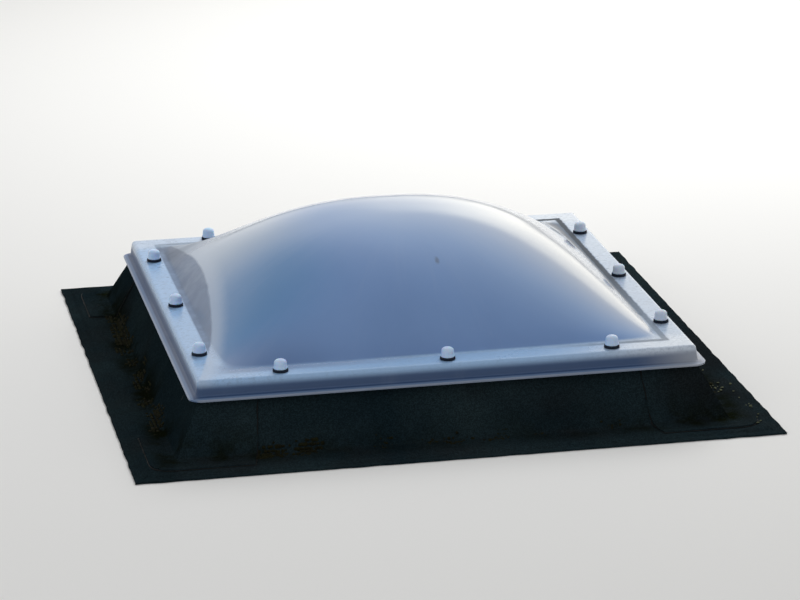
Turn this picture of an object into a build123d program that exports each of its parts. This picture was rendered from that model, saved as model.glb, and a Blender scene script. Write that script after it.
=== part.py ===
from build123d import *

import math
import os

# Dome and pane, in millimetres, centred on the origin with the roof deck at height 0
flange_side = 1100.0
flange_width = 62.0
dome_rise = 195.0
dome_squareness = 2.4
dome_fullness = 0.95
foot_blend = 8.0
shell_thickness = 4.0
pane_thickness = 5.0
pane_setback = 9.0
grid_points = 45

# Skirt and lip turned down from the outer shell's flange
edge_radius = 9.0
skirt_lean = 9.0
skirt_drop = 41.0
flare_radius = 6.0
lip_droop = 14.0
lip_overhang = 21.0
corner_radius = 10.0

# Foam tapes above and below the pane
spacer_thickness = 2.0
kerb_gasket_thickness = 2.5
tape_width = 18.0
tape_clearance = 1.5

# Kerb: two laminate skins round a foam core, with battens under the rim
kerb_height = 150.0
kerb_setback = 11.0
rim_width = 74.0
shaft_spread = 35.0
collar_height = 25.0
kerb_foot_spread = 66.0
base_flange_width = 70.0
laminate = 4.0
liner = 3.0
liner_knee_drop = 60.0
laminate_bend = 6.0
batten_height = 45.0
batten_arris = 2.0
bond_gap = 0.2

# Roofing felt dressed up the kerb and out over its base flange
felt = 4.5
felt_top_gap = 6.0
felt_bend = 12.0
step_bend = 4.0
step_run = 9.0
apron_lap = 34.0
patch = 3.5
patch_span = 118.0
patch_taper = 26.0
patch_margin = 8.0
patch_round = 45.0

# Fasteners, the same on each side
screws_per_side = 3
screw_pitch = 366.0
screw_inset = 31.0
screw_diameter = 6.0
screw_length = 60.0
screw_point = 7.0
head_width = 10.0
head_height = 5.0
shank_play = 0.3
shell_hole = 11.0
pilot_play = 0.1
washer_diameter = 34.0
washer_thickness = 6.0
cap_diameter = 30.0
cap_height = 21.5
cap_chamfer = 3.5
cap_wall = 2.0

# Fixing holes in the kerb's base flange
fixing_diameter = 8.0
fixing_inset = 24.0
fixing_pitch = 630.0

# Levels and reaches that follow from the sizes above
flange_reach = flange_side / 2
dome_reach = flange_reach - flange_width
pane_reach = flange_reach - pane_setback
pane_base = kerb_height + kerb_gasket_thickness
pane_top = pane_base + pane_thickness
flange_base = pane_top + spacer_thickness
flange_top = flange_base + shell_thickness
kerb_reach = flange_reach - kerb_setback
rim_reach = kerb_reach - rim_width
knee_height = kerb_height - collar_height
foot_reach = kerb_reach + kerb_foot_spread
base_reach = foot_reach + base_flange_width
apron_reach = base_reach + apron_lap
liner_knee = kerb_height - liner_knee_drop
wall_slope = math.atan2(kerb_foot_spread, knee_height)
liner_slope = math.atan2(shaft_spread, liner_knee)
screw_reach = flange_reach - screw_inset
seat_level = flange_top + washer_thickness
shank_bore = screw_diameter + 2 * shank_play
tape_reach = screw_reach - shell_hole / 2 - tape_clearance

os.makedirs("parts", exist_ok=True)


def write(part, name):
    """Labels one finished piece and writes it under the same name."""
    part.label = name
    export_step(part, f"parts/{name}.step")


def run_side(section, reach, gap=0.0):
    """A section in X and Z run along the +X side and mitred at both diagonals."""
    with BuildPart() as quarter:
        with BuildSketch(Plane.XY.offset(-reach)):
            with BuildLine():
                Polyline((gap, 0), (reach + gap, reach), (reach + gap, -reach), close=True)
            make_face()
        extrude(amount=2 * reach)
    with BuildPart() as side:
        with BuildSketch(Plane.XZ):
            add(section)
        extrude(amount=reach, both=True)
        add(quarter.part, mode=Mode.INTERSECT)
    return side.part


def mitred_frame(section, reach):
    """The same section on all four sides, joined into one piece at the mitres."""
    side = run_side(section, reach)
    with BuildPart() as frame:
        with PolarLocations(0, 4):
            add(side)
    return frame.part


def rounded_frame(section, centre):
    """A section run along four straight sides and turned round a centre at each corner."""
    with BuildPart() as side:
        with BuildSketch(Plane.XZ):
            add(section)
        extrude(amount=centre, both=True)
    with BuildPart() as corner:
        with BuildSketch(Plane.XZ.offset(-centre)):
            add(section)
        revolve(axis=Axis((centre, centre, 0), (0, 0, 1)), revolution_arc=90)
    with BuildPart() as frame:
        with PolarLocations(0, 4):
            add(side.part)
            add(corner.part)
    return frame.part


def flat_frame(low, high, inner, outer):
    """A flat square ring between two levels."""
    with BuildPart() as ring:
        with BuildSketch(Plane.XY.offset(low)):
            Rectangle(2 * outer, 2 * outer)
            Rectangle(2 * inner, 2 * inner, mode=Mode.SUBTRACT)
        extrude(amount=high - low)
    return ring.part


def bent_sheet(points, radii, thickness):
    """Section of a bent sheet, from its middle line and bend radii."""
    with BuildSketch() as section:
        with BuildLine():
            FilletPolyline(*points, radius=radii)
        trace(line_width=thickness)
    return section.sketch


def wall_line(reach, knee, slope, offset, top, bottom):
    """Top, knee and foot of a wall that stands upright and then spreads, moved out by an offset."""
    foot = reach + offset / math.cos(slope) + (knee - bottom) * math.tan(slope)
    return [(reach + offset, top), (reach + offset, knee + offset * math.tan(slope / 2)), (foot, bottom)]


def kerb_wall(offset, top, bottom):
    """The kerb's outer face, moved out by an offset."""
    return wall_line(kerb_reach, knee_height, wall_slope, offset, top, bottom)


def liner_wall(offset, top, bottom):
    """The light shaft's face, moved out by an offset."""
    return wall_line(rim_reach, liner_knee, liner_slope, offset, top, bottom)


def span_share(position):
    """Share of the rise at one distance from the middle, easing in at the dome's foot."""
    inward = 1 - abs(position) / dome_reach
    body = (1 - (1 - inward) ** dome_squareness) ** dome_fullness
    return body * (1 - math.exp(-inward * dome_reach / foot_blend))


def dome_shell():
    """Free-blown dome over its square foot, as thick upwards on its slopes as at its crown."""
    angles = [math.pi * (i / (grid_points - 1) - 0.5) for i in range(grid_points)]
    steps = [dome_reach * math.sin(angle) for angle in angles]
    shares = [span_share(step) / span_share(0) for step in steps]
    grid = [
        [(x, y, flange_top + dome_rise * across * along) for x, across in zip(steps, shares)]
        for y, along in zip(steps, shares)
    ]
    crown = Face.make_surface_from_array_of_points(grid, tol=0.02, min_deg=3, max_deg=3)
    return Solid.extrude(crown, Vector(0, 0, -shell_thickness))


def side_rows(reach, pitch, count):
    """Places of a row of fasteners along each of the four sides."""
    row = [pitch * (i - (count - 1) / 2) for i in range(count)]
    return [
        place
        for along in row
        for place in ((reach, along), (-along, reach), (-reach, -along), (along, -reach))
    ]


screw_places = side_rows(screw_reach, screw_pitch, screws_per_side)
fixing_places = side_rows(base_reach - fixing_inset, fixing_pitch, 2)


def pegs(places, low, high, diameter):
    """A round peg at each place between two levels, for cutting a pattern of holes."""
    with BuildPart() as group:
        with BuildSketch(Plane.XY.offset(low)):
            with Locations(*places):
                Circle(diameter / 2)
        extrude(amount=high - low)
    return group.part


def at_every_screw(piece):
    """Copies of one turned piece at all the fasteners, as separate solids."""
    with BuildPart() as group:
        with Locations(*screw_places):
            add(piece)
    return group.part


# Outer shell: dome, flange, rounded edge, leaning skirt and flared lip
half_sheet = shell_thickness / 2
bend = edge_radius - half_sheet
turn = 90 - skirt_lean
lean, droop = math.radians(skirt_lean), math.radians(lip_droop)
bend_run, bend_fall = bend * math.cos(lean), bend * (1 - math.sin(lean))
flare_fall = flare_radius * (math.cos(droop) - math.sin(lean))
flare_run = flare_radius * (math.cos(lean) - math.sin(droop))
bend_start = flange_reach - half_sheet - bend_run
corner_centre = flange_reach - corner_radius
fall = skirt_drop - half_sheet - bend_fall - flare_fall - half_sheet * math.cos(droop)
run = lip_overhang + half_sheet - flare_run - half_sheet * math.sin(droop)
lip_length = (run * math.cos(lean) - fall * math.sin(lean)) / math.cos(lean + droop)
skirt_length = (fall - lip_length * math.sin(droop)) / math.cos(lean)

with BuildSketch() as skirt_section:
    with BuildLine():
        middle = flange_top - half_sheet
        flat = Line((corner_centre, middle), (bend_start, middle))
        edge_bend = JernArc(flat @ 1, flat % 1, bend, -turn)
        skirt = PolarLine(edge_bend @ 1, skirt_length, skirt_lean - 90)
        flare = JernArc(skirt @ 1, skirt % 1, flare_radius, turn - lip_droop)
        PolarLine(flare @ 1, lip_length, -lip_droop)
    trace(line_width=shell_thickness)

with BuildPart() as outer_dome:
    add(rounded_frame(skirt_section.sketch, corner_centre))
    add(flat_frame(flange_base, flange_top, dome_reach, corner_centre))
    add(dome_shell())
    add(pegs(screw_places, kerb_height, seat_level, shell_hole), mode=Mode.SUBTRACT)
write(outer_dome.part, "outer_dome")

# Inner pane: a flat clear sheet under the dome's flange, which makes the unit double glazed
with BuildPart() as inner_pane:
    with BuildSketch(Plane.XY.offset(pane_base)):
        RectangleRounded(2 * pane_reach, 2 * pane_reach, corner_radius)
    extrude(amount=pane_thickness)
    add(pegs(screw_places, kerb_height, seat_level, shell_hole), mode=Mode.SUBTRACT)
write(inner_pane.part, "inner_pane")

# Foam tapes inboard of the screws: one between flange and pane and one on the kerb's rim
with BuildPart() as flange_spacer:
    add(flat_frame(pane_top, flange_base, tape_reach - tape_width, tape_reach))
write(flange_spacer.part, "flange_spacer")

with BuildPart() as kerb_gasket:
    add(flat_frame(kerb_height, pane_base, tape_reach - tape_width, tape_reach))
write(kerb_gasket.part, "kerb_gasket")

# Kerb's outer skin: base flange, spreading wall, upright collar and rim
half_laminate = laminate / 2
skin_top, skin_knee, skin_foot = kerb_wall(-half_laminate, kerb_height - half_laminate, half_laminate)
skin_points = [
    (base_reach, half_laminate), skin_foot, skin_knee, skin_top, (rim_reach, kerb_height - half_laminate)
]
with BuildPart() as kerb_outer_skin:
    skin_bends = [laminate_bend, laminate_bend, laminate_bend / 2]
    add(mitred_frame(bent_sheet(skin_points, skin_bends, laminate), apron_reach))
    add(pegs(screw_places, knee_height, seat_level, shank_bore), mode=Mode.SUBTRACT)
    add(pegs(fixing_places, -laminate, 2 * laminate, fixing_diameter), mode=Mode.SUBTRACT)
write(kerb_outer_skin.part, "kerb_outer_skin")

# Kerb's inner skin: the light shaft's lining, turned out under the foam at the foot
half_liner = liner / 2
liner_points = liner_wall(half_liner, kerb_height - laminate - bond_gap, half_liner)
liner_points.append((skin_foot[0] - laminate_bend, half_liner))
with BuildPart() as kerb_inner_skin:
    add(mitred_frame(bent_sheet(liner_points, laminate_bend, liner), apron_reach))
write(kerb_inner_skin.part, "kerb_inner_skin")

# Foam core between the skins, below the battens
batten_base = kerb_height - laminate - bond_gap - batten_height
core_top, core_base = batten_base - bond_gap, liner + bond_gap
core_in = liner_wall(liner + bond_gap, core_top, core_base)
core_out = kerb_wall(-laminate - bond_gap, core_top, core_base)
with BuildPart() as kerb_core:
    with BuildSketch() as core_section:
        with BuildLine():
            Polyline(*core_in, *reversed(core_out), close=True)
        make_face()
        inner_corners = core_section.vertices().sort_by(Axis.X)[1:3]
        fillet(inner_corners, laminate_bend)
    add(mitred_frame(core_section.sketch, apron_reach))
write(kerb_core.part, "kerb_core")

# Timber battens in the top of the foam: near and far run through, left and right butt between them
batten_in = rim_reach + liner + bond_gap
batten_out = kerb_reach - laminate - bond_gap
pilot = screw_diameter + 2 * pilot_play
pilot_end = seat_level - screw_length - pilot_play
with BuildSketch() as batten_section:
    with Locations(((batten_in + batten_out) / 2, batten_base + batten_height / 2)):
        Rectangle(batten_out - batten_in, batten_height)
    chamfer(batten_section.vertices(), batten_arris)
sides = {"right": 0, "far": 90, "left": 180, "near": 270}
for name, around in sides.items():
    butts = name in ("left", "right")
    with BuildPart() as batten_run:
        with BuildSketch(Plane.XZ):
            add(batten_section.sketch)
        extrude(amount=batten_in - bond_gap if butts else batten_out - batten_arris, both=True)
    with BuildPart() as batten:
        add(batten_run.part, rotation=(0, 0, around))
        add(pegs(screw_places, pilot_end, kerb_height, pilot), mode=Mode.SUBTRACT)
    write(batten.part, f"batten_{name}")

# Felt strips: one to a side, dressed up the collar and out past the base flange
felt_middle = bond_gap + felt / 2
felt_level = laminate + felt_middle
step_start = base_reach + laminate
felt_points = kerb_wall(felt_middle, kerb_height - felt_top_gap, felt_level)
felt_points += [(step_start, felt_level), (step_start + step_run, felt / 2), (apron_reach, felt / 2)]
felt_section = bent_sheet(felt_points, [felt_bend, felt_bend, step_bend, step_bend], felt)
felt_side = run_side(felt_section, apron_reach, bond_gap)
for name, around in sides.items():
    with BuildPart() as felt_strip:
        add(felt_side, rotation=(0, 0, around))
    write(felt_strip.part, f"felt_{name}")

# Felt corner patches: folded round each corner over the ends of two strips
patch_middle = 2 * bond_gap + felt + patch / 2
patch_level = laminate + patch_middle
patch_in, patch_out = kerb_reach - patch_span, base_reach - patch_margin
patch_bend = felt_bend - bond_gap - (felt + patch) / 2
patch_points = kerb_wall(patch_middle, kerb_height, patch_level)[1:]
patch_points.append((patch_out, patch_level))
patch_side = run_side(bent_sheet(patch_points, patch_bend, patch), apron_reach)
with BuildPart() as patch_column:
    with BuildSketch() as patch_plan:
        with BuildLine():
            edge = [(kerb_reach, patch_in), (patch_out, patch_in + patch_taper)]
            other = [(y, x) for x, y in reversed(edge)]
            Polyline((patch_in, patch_in), *edge, (patch_out, patch_out), *other, close=True)
        make_face()
        fillet(patch_plan.vertices().sort_by_distance((0, 0))[-1], patch_round)
    extrude(amount=kerb_height)
with BuildPart() as corner_fold:
    add(patch_side)
    add(patch_side, rotation=(0, 0, 90))
    add(patch_column.part, mode=Mode.INTERSECT)
corners = {"far_right": 0, "far_left": 90, "near_left": 180, "near_right": 270}
for name, around in corners.items():
    with BuildPart() as felt_corner:
        add(corner_fold.part, rotation=(0, 0, around))
    write(felt_corner.part, f"felt_corner_{name}")

# Screws: hexagon head on the washer, shank down into the batten
with BuildPart() as screw:
    with BuildSketch(Plane.XZ):
        with BuildLine():
            Polyline(
                (0, seat_level),
                (screw_diameter / 2, seat_level),
                (screw_diameter / 2, seat_level - screw_length + screw_point),
                (0, seat_level - screw_length),
                close=True,
            )
        make_face()
    revolve(axis=Axis.Z)
    with BuildSketch(Plane.XY.offset(seat_level)):
        RegularPolygon(head_width / 2, 6, major_radius=False)
    extrude(amount=head_height)
write(at_every_screw(screw.part), "screws")

# Sealing washers between the heads and the flange
with BuildPart() as washer:
    with BuildSketch(Plane.XY.offset(flange_top)):
        Circle(washer_diameter / 2)
        Circle(shank_bore / 2, mode=Mode.SUBTRACT)
    extrude(amount=washer_thickness)
write(at_every_screw(washer.part), "sealing_washers")

# Caps: hollow, standing on the washers over the heads
with BuildPart() as cap:
    with BuildSketch(Plane.XY.offset(seat_level)):
        Circle(cap_diameter / 2)
    extrude(amount=cap_height)
    chamfer(cap.edges().group_by(Axis.Z)[-1], cap_chamfer)
    with BuildSketch(Plane.XY.offset(seat_level)):
        Circle(cap_diameter / 2 - cap_wall)
    extrude(amount=cap_height - cap_chamfer, mode=Mode.SUBTRACT)
write(at_every_screw(cap.part), "screw_caps")
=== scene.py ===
"""Looks of a square fixed dome skylight on its felted kerb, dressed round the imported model.

Every size is in metres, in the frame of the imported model: +Z up, the roof deck at height 0.
"""

import logging
import math
import random
from collections.abc import Callable, Iterable, Sequence
from dataclasses import dataclass, field
from enum import Enum
from functools import cached_property, reduce

import bpy
from mathutils import Matrix, Vector, noise


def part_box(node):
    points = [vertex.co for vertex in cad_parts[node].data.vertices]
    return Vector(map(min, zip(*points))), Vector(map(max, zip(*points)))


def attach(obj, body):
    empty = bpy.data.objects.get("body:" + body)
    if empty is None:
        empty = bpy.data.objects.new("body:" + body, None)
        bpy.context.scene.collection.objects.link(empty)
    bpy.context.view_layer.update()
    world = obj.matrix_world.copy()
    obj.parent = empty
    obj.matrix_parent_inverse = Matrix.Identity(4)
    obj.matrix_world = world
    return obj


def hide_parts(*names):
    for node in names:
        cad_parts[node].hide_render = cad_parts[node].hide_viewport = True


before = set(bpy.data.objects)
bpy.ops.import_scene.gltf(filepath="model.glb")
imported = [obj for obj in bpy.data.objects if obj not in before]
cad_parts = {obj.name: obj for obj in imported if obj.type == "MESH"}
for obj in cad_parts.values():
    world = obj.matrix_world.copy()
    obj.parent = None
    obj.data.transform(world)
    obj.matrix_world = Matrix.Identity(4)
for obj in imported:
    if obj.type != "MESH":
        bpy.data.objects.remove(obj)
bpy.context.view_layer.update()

log = logging.getLogger("skylight")

Colour = tuple[float, float, float, float]
Path = list[tuple[float, float]]
Faces = list[tuple[int, ...]]
Node = bpy.types.Node
Socket = bpy.types.NodeSocket
Tree = bpy.types.NodeTree
Material = bpy.types.Material
Piece = bpy.types.Object

# How strongly clear and opal acrylic bend light
ACRYLIC_IOR = 1.49


def srgb(red: int, green: int, blue: int) -> Colour:
    """Turns a colour as seen on screen into Blender's linear values.

    Args:
        red: Red from 0 to 255.
        green: Green from 0 to 255.
        blue: Blue from 0 to 255.

    Returns:
        Linear red, green, blue and an alpha of 1.
    """

    def linear(channel: int) -> float:
        """One channel, from its screen value to its linear value."""
        share = channel / 255
        return share / 12.92 if share <= 0.04045 else ((share + 0.055) / 1.055) ** 2.4

    return (linear(red), linear(green), linear(blue), 1.0)


class Slot(Enum):
    """The record's material slots, handed to new pieces but not used by them."""

    OPAL = "opal_acrylic"
    FELT = "roofing_felt"
    WASHER = "washer_rubber"
    CAP = "cap_plastic"


class Turned(Enum):
    """Like places round the kerb, each with how far it is turned from the first one, in degrees."""

    @property
    def turn(self) -> Matrix:
        """Rotation that takes the first place to this one."""
        return Matrix.Rotation(math.radians(self.value), 3, "Z")


class Side(Turned):
    """The kerb's four sides, from the +X side on."""

    RIGHT = 0
    FAR = 90
    LEFT = 180
    NEAR = 270


class Corner(Turned):
    """The kerb's four corners, from the one at +X and +Y on."""

    FAR_RIGHT = 0
    FAR_LEFT = 90
    NEAR_LEFT = 180
    NEAR_RIGHT = 270


class Along(Enum):
    """What a fade can go along, at each place of a surface."""

    EAST = "place along X"
    NORTH = "place along Y"
    UP = "height"
    ASIDE = "distance from the middle along X"
    REACH = "larger one of the distances from the middle along X and Y"
    FACING_EAST = "how far the surface turns towards +X"
    # Zones along this measure paint light on surfaces that face the bright back right, where the low glow
    # lamp stands.
    FACING_BRIGHT_SIDE = "how far the surface turns towards the side that the sun has faded"


@dataclass(frozen=True)
class Fade:
    """A smooth change of strength along one measure.

    Attributes:
        along: The measure.
        low: Its value where the fade starts.
        high: Its value where the fade is over.
        start: Strength before the fade.
        end: Strength after the fade.
    """

    along: Along
    low: float
    high: float
    start: float = 0.0
    end: float = 1.0


@dataclass(frozen=True)
class Zone:
    """A part of a surface that has a colour of its own.

    Attributes:
        colour: The zone's colour.
        fades: The fades that bound it, which multiply to its strength.
    """

    colour: Colour
    fades: Sequence[Fade]


class ShaderTree:
    """Adds and links nodes in one material or one shader group."""

    def __init__(self, tree: Tree) -> None:
        """Keeps the tree that the nodes go into.

        Args:
            tree: The node tree of a material, a world, a lamp or a shader group.
        """
        self.tree = tree

    def add(self, kind: str, inputs: dict | None = None, **settings: object) -> Node:
        """Adds one node.

        Args:
            kind: Blender's name of the node's type.
            inputs: Input name or number to its value, or to the socket that feeds it.
            **settings: Properties of the node itself.

        Returns:
            The new node.
        """
        node = self.tree.nodes.new(kind)
        for name, value in settings.items():
            setattr(node, name, value)
        for key, value in (inputs or {}).items():
            if isinstance(value, Socket):
                self.tree.links.new(value, node.inputs[key])
            else:
                node.inputs[key].default_value = value
        return node

    def position(self) -> Socket:
        """Place on the object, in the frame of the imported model."""
        return self.add("ShaderNodeTexCoord").outputs["Object"]

    def facing(self) -> Socket:
        """Direction that the surface faces."""
        return self.add("ShaderNodeNewGeometry").outputs["Normal"]

    def axes(self, vector: Socket | None = None) -> list[Socket]:
        """The X, Y and Z of a vector, or of the place on the object."""
        split = self.add("ShaderNodeSeparateXYZ", {0: vector or self.position()})
        return [split.outputs[name] for name in "XYZ"]

    def math(self, operation: str, *values: object, clamp: bool = False) -> Socket:
        """One Math node on one to three values or sockets."""
        inputs = dict(enumerate(values))
        return self.add("ShaderNodeMath", inputs, operation=operation, use_clamp=clamp).outputs[0]

    def vector(self, operation: str, *values: object) -> Socket:
        """One Vector Math node on one or two vectors."""
        node = self.add("ShaderNodeVectorMath", dict(enumerate(values)), operation=operation)
        return node.outputs["Value" if operation == "LENGTH" else "Vector"]

    def times(self, *values: object) -> Socket:
        """Product of masks and numbers."""
        return reduce(lambda first, second: self.math("MULTIPLY", first, second), values)

    def total(self, *values: object) -> Socket:
        """Sum of masks and numbers."""
        return reduce(lambda first, second: self.math("ADD", first, second), values)

    def most(self, *values: object) -> Socket:
        """Largest of some masks and numbers."""
        return reduce(lambda first, second: self.math("MAXIMUM", first, second), values)

    def off(self, value: object, middle: object = 0.0) -> Socket:
        """How far a value is from another one, to either side."""
        return self.math("ABSOLUTE", self.math("SUBTRACT", value, middle))

    def noise(self, vector: Socket, scale: object, detail: float = 4.0, roughness: float = 0.5,
              distortion: float = 0.0) -> Socket:
        """Noise from 0 to 1 at a vector."""
        inputs = {"Vector": vector, "Scale": scale, "Detail": detail,
                  "Roughness": roughness, "Distortion": distortion}
        return self.add("ShaderNodeTexNoise", inputs).outputs[0]

    def stretch(self, scale: object) -> Socket:
        """Place on the object, with each axis scaled by its own amount."""
        return self.vector("MULTIPLY", self.position(), scale)

    def step(self, value: object, low: object, high: object, start: object = 0.0,
             end: object = 1.0) -> Socket:
        """A smooth step from start to end while a value goes from low to high."""
        inputs = {"Value": value, "From Min": low, "From Max": high, "To Min": start, "To Max": end}
        return self.add("ShaderNodeMapRange", inputs, interpolation_type="SMOOTHSTEP").outputs[0]

    def patches(self, scale: object, low: float, high: float, start: float = 0.0, end: float = 1.0,
                detail: float = 5.0, roughness: float = 0.6) -> Socket:
        """Patches that noise makes, from start between them to end inside them."""
        return self.step(self.noise(self.position(), scale, detail, roughness), low, high, start, end)

    def ragged(self, value: Socket, scale: float, depth: float, roughness: float = 0.5) -> Socket:
        """A measure that noise adds up to a depth to."""
        uneven = self.noise(self.position(), scale, 4.0, roughness)
        return self.math("MULTIPLY_ADD", uneven, depth, value)

    def blend(self, share: object, first: object, second: object, mode: str = "MIX") -> Socket:
        """One colour mixed into another by a share."""
        inputs = {0: share, 6: first, 7: second}
        return self.add("ShaderNodeMix", inputs, data_type="RGBA", blend_type=mode).outputs[2]

    def bump(self, height: Socket, strength: float, distance: float, below: Socket | None = None) -> Socket:
        """A normal from a height, on top of another bump's normal if there is one."""
        under = {} if below is None else {"Normal": below}
        return self.add("ShaderNodeBump", {"Height": height, "Strength": strength, "Distance": distance,
                                           **under}).outputs[0]

    @property
    def surface(self) -> Node:
        """The surface shader of a material's tree."""
        return self.tree.nodes["Principled BSDF"]

    @cached_property
    def at(self) -> dict[Along, Socket]:
        """All that a fade can go along, wired when it is first used.

        Returns:
            The socket of each measure.
        """
        east, north, up = self.axes()
        facing_east, facing_north, _ = self.axes(self.facing())
        aside = self.off(east)
        return {Along.EAST: east, Along.NORTH: north, Along.UP: up, Along.ASIDE: aside,
                Along.REACH: self.most(aside, self.off(north)), Along.FACING_EAST: facing_east,
                Along.FACING_BRIGHT_SIDE: self.total(facing_east, self.times(facing_north, 0.8))}

    def mask(self, *fades: Fade) -> Socket:
        """Product of some fades."""
        return self.times(*(self.step(self.at[f.along], f.low, f.high, f.start, f.end) for f in fades))

    def zoned(self, base: Socket | Colour, *zones: Zone) -> Socket:
        """Lays zones over a colour, one after the other."""
        return reduce(lambda under, zone: self.blend(self.mask(*zone.fades), under, zone.colour),
                      zones, base)

    def feed(self, colour: Socket, roughness: Socket, normal: Socket) -> None:
        """Links what varies over the surface to the material's surface shader."""
        for name, socket in (("Base Color", colour), ("Roughness", roughness), ("Normal", normal)):
            self.tree.links.new(socket, self.surface.inputs[name])


class Effect:
    """A shader group that several finishes share, built when it is first placed.

    Attributes:
        name: The group's name.
        inputs: Name and first value of each input.
        outputs: Name of each output.
    """

    name = "effect"
    inputs: dict[str, float] = {}
    outputs: Sequence[str] = ("Mask",)

    def __init__(self) -> None:
        """Starts with no group built."""
        self._tree: Tree | None = None

    def wire(self, shader: ShaderTree, given: dict) -> Sequence[Socket]:
        """Makes the nodes inside the group.

        Args:
            shader: Builder of the group's nodes.
            given: The group's inputs by name.

        Returns:
            The sockets that feed the outputs, in order.
        """
        raise NotImplementedError

    def place(self, shader: ShaderTree, **values: float) -> Sequence[Socket]:
        """Places the group in a material.

        Args:
            shader: Builder of the material's nodes.
            **values: The material's own value for each input.

        Returns:
            The group's outputs, in order.
        """
        if self._tree is None:
            self._tree = self._build()
        return list(shader.add("ShaderNodeGroup", values, node_tree=self._tree).outputs)

    def _build(self) -> Tree:
        """Builds the group with its sockets.

        Returns:
            The group's node tree.
        """
        tree = bpy.data.node_groups.new(self.name, "ShaderNodeTree")
        for socket, value in self.inputs.items():
            new = tree.interface.new_socket(socket, in_out="INPUT", socket_type="NodeSocketFloat")
            new.default_value = value
        for socket in self.outputs:
            tree.interface.new_socket(socket, in_out="OUTPUT", socket_type="NodeSocketFloat")
        shader = ShaderTree(tree)
        start, end = shader.add("NodeGroupInput"), shader.add("NodeGroupOutput")
        for socket, value in zip(self.outputs, self.wire(shader, start.outputs)):
            tree.links.new(value, end.inputs[socket])
        return tree


class CloudyTone(Effect):
    """Soft uneven tone from 0 to 1."""

    name = "cloudy_tone"
    inputs = {"Scale": 4.0, "Contrast": 2.0}
    outputs = ("Tone",)

    def wire(self, shader: ShaderTree, given: dict) -> Sequence[Socket]:
        """Noise, with its middle stretched by the contrast.

        Args:
            shader: Builder of the group's nodes.
            given: The group's inputs by name.

        Returns:
            The tone.
        """
        tone = shader.noise(shader.position(), given["Scale"], 5.0, 0.55, 0.4)
        centred = shader.math("MULTIPLY_ADD", shader.math("SUBTRACT", tone, 0.5), given["Contrast"], 0.5)
        return [shader.most(0.0, shader.math("MINIMUM", centred, 1.0))]


class SettledDust(Effect):
    """Dust that settles on what faces up."""

    name = "settled_dust"
    inputs = {"Amount": 0.5, "Scale": 9.0}

    def wire(self, shader: ShaderTree, given: dict) -> Sequence[Socket]:
        """The upward share of the normal times patchy noise.

        Args:
            shader: Builder of the group's nodes.
            given: The group's inputs by name.

        Returns:
            The mask.
        """
        upward = shader.step(shader.axes(shader.facing())[2], 0.35, 0.98)
        patches = shader.patches(given["Scale"], 0.35, 0.75, detail=6.0, roughness=0.65)
        return [shader.math("MULTIPLY", shader.times(upward, patches), given["Amount"], clamp=True)]


class FineGrain(Effect):
    """Height of a fine uneven surface."""

    name = "fine_grain"
    inputs = {"Scale": 60.0}
    outputs = ("Height",)

    def wire(self, shader: ShaderTree, given: dict) -> Sequence[Socket]:
        """Two sizes of noise added.

        Args:
            shader: Builder of the group's nodes.
            given: The group's inputs by name.

        Returns:
            The height.
        """
        coarse = shader.noise(shader.position(), given["Scale"], 2.0)
        fine = shader.noise(shader.position(), shader.times(given["Scale"], 5.3), 3.0)
        return [shader.math("MULTIPLY_ADD", fine, 0.35, coarse)]


class RainRuns(Effect):
    """Rain marks that run down and out from the middle."""

    name = "rain_runs"
    inputs = {"Count": 9.0, "Amount": 0.5}

    def wire(self, shader: ShaderTree, given: dict) -> Sequence[Socket]:
        """Noise that is narrow round the middle and long away from it.

        Args:
            shader: Builder of the group's nodes.
            given: The group's inputs by name.

        Returns:
            The mask.
        """
        east, north, up = shader.axes()
        angle = shader.times(shader.math("ARCTAN2", north, east), given["Count"])
        far = shader.math("SQRT", shader.total(shader.times(east, east), shader.times(north, north)))
        joined = shader.add("ShaderNodeCombineXYZ",
                            {0: angle, 1: shader.times(far, 2.2), 2: shader.times(up, 3.0)})
        streaks = shader.step(shader.noise(joined.outputs[0], 1.0, 5.0, 0.6), 0.5, 0.78)
        marks = shader.times(streaks, shader.step(far, 0.05, 0.3))
        return [shader.math("MULTIPLY", marks, given["Amount"], clamp=True)]


class MineralGranules(Effect):
    """Tone and height of mineral granules pressed into felt."""

    name = "mineral_granules"
    inputs = {"Scale": 500.0}
    outputs = ("Tone", "Height")

    def wire(self, shader: ShaderTree, given: dict) -> Sequence[Socket]:
        """Rounded cells, each with its own tone.

        Args:
            shader: Builder of the group's nodes.
            given: The group's inputs by name.

        Returns:
            The tone and the height.
        """
        inputs = {"Vector": shader.position(), "Scale": given["Scale"], "Randomness": 1.0}
        cells = shader.add("ShaderNodeTexVoronoi", inputs)
        height = shader.math("SUBTRACT", 1.0, cells.outputs["Distance"], clamp=True)
        return [shader.axes(cells.outputs["Color"])[0], height]


cloudy_tone = CloudyTone()
settled_dust = SettledDust()
fine_grain = FineGrain()
rain_runs = RainRuns()
mineral_granules = MineralGranules()


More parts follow.
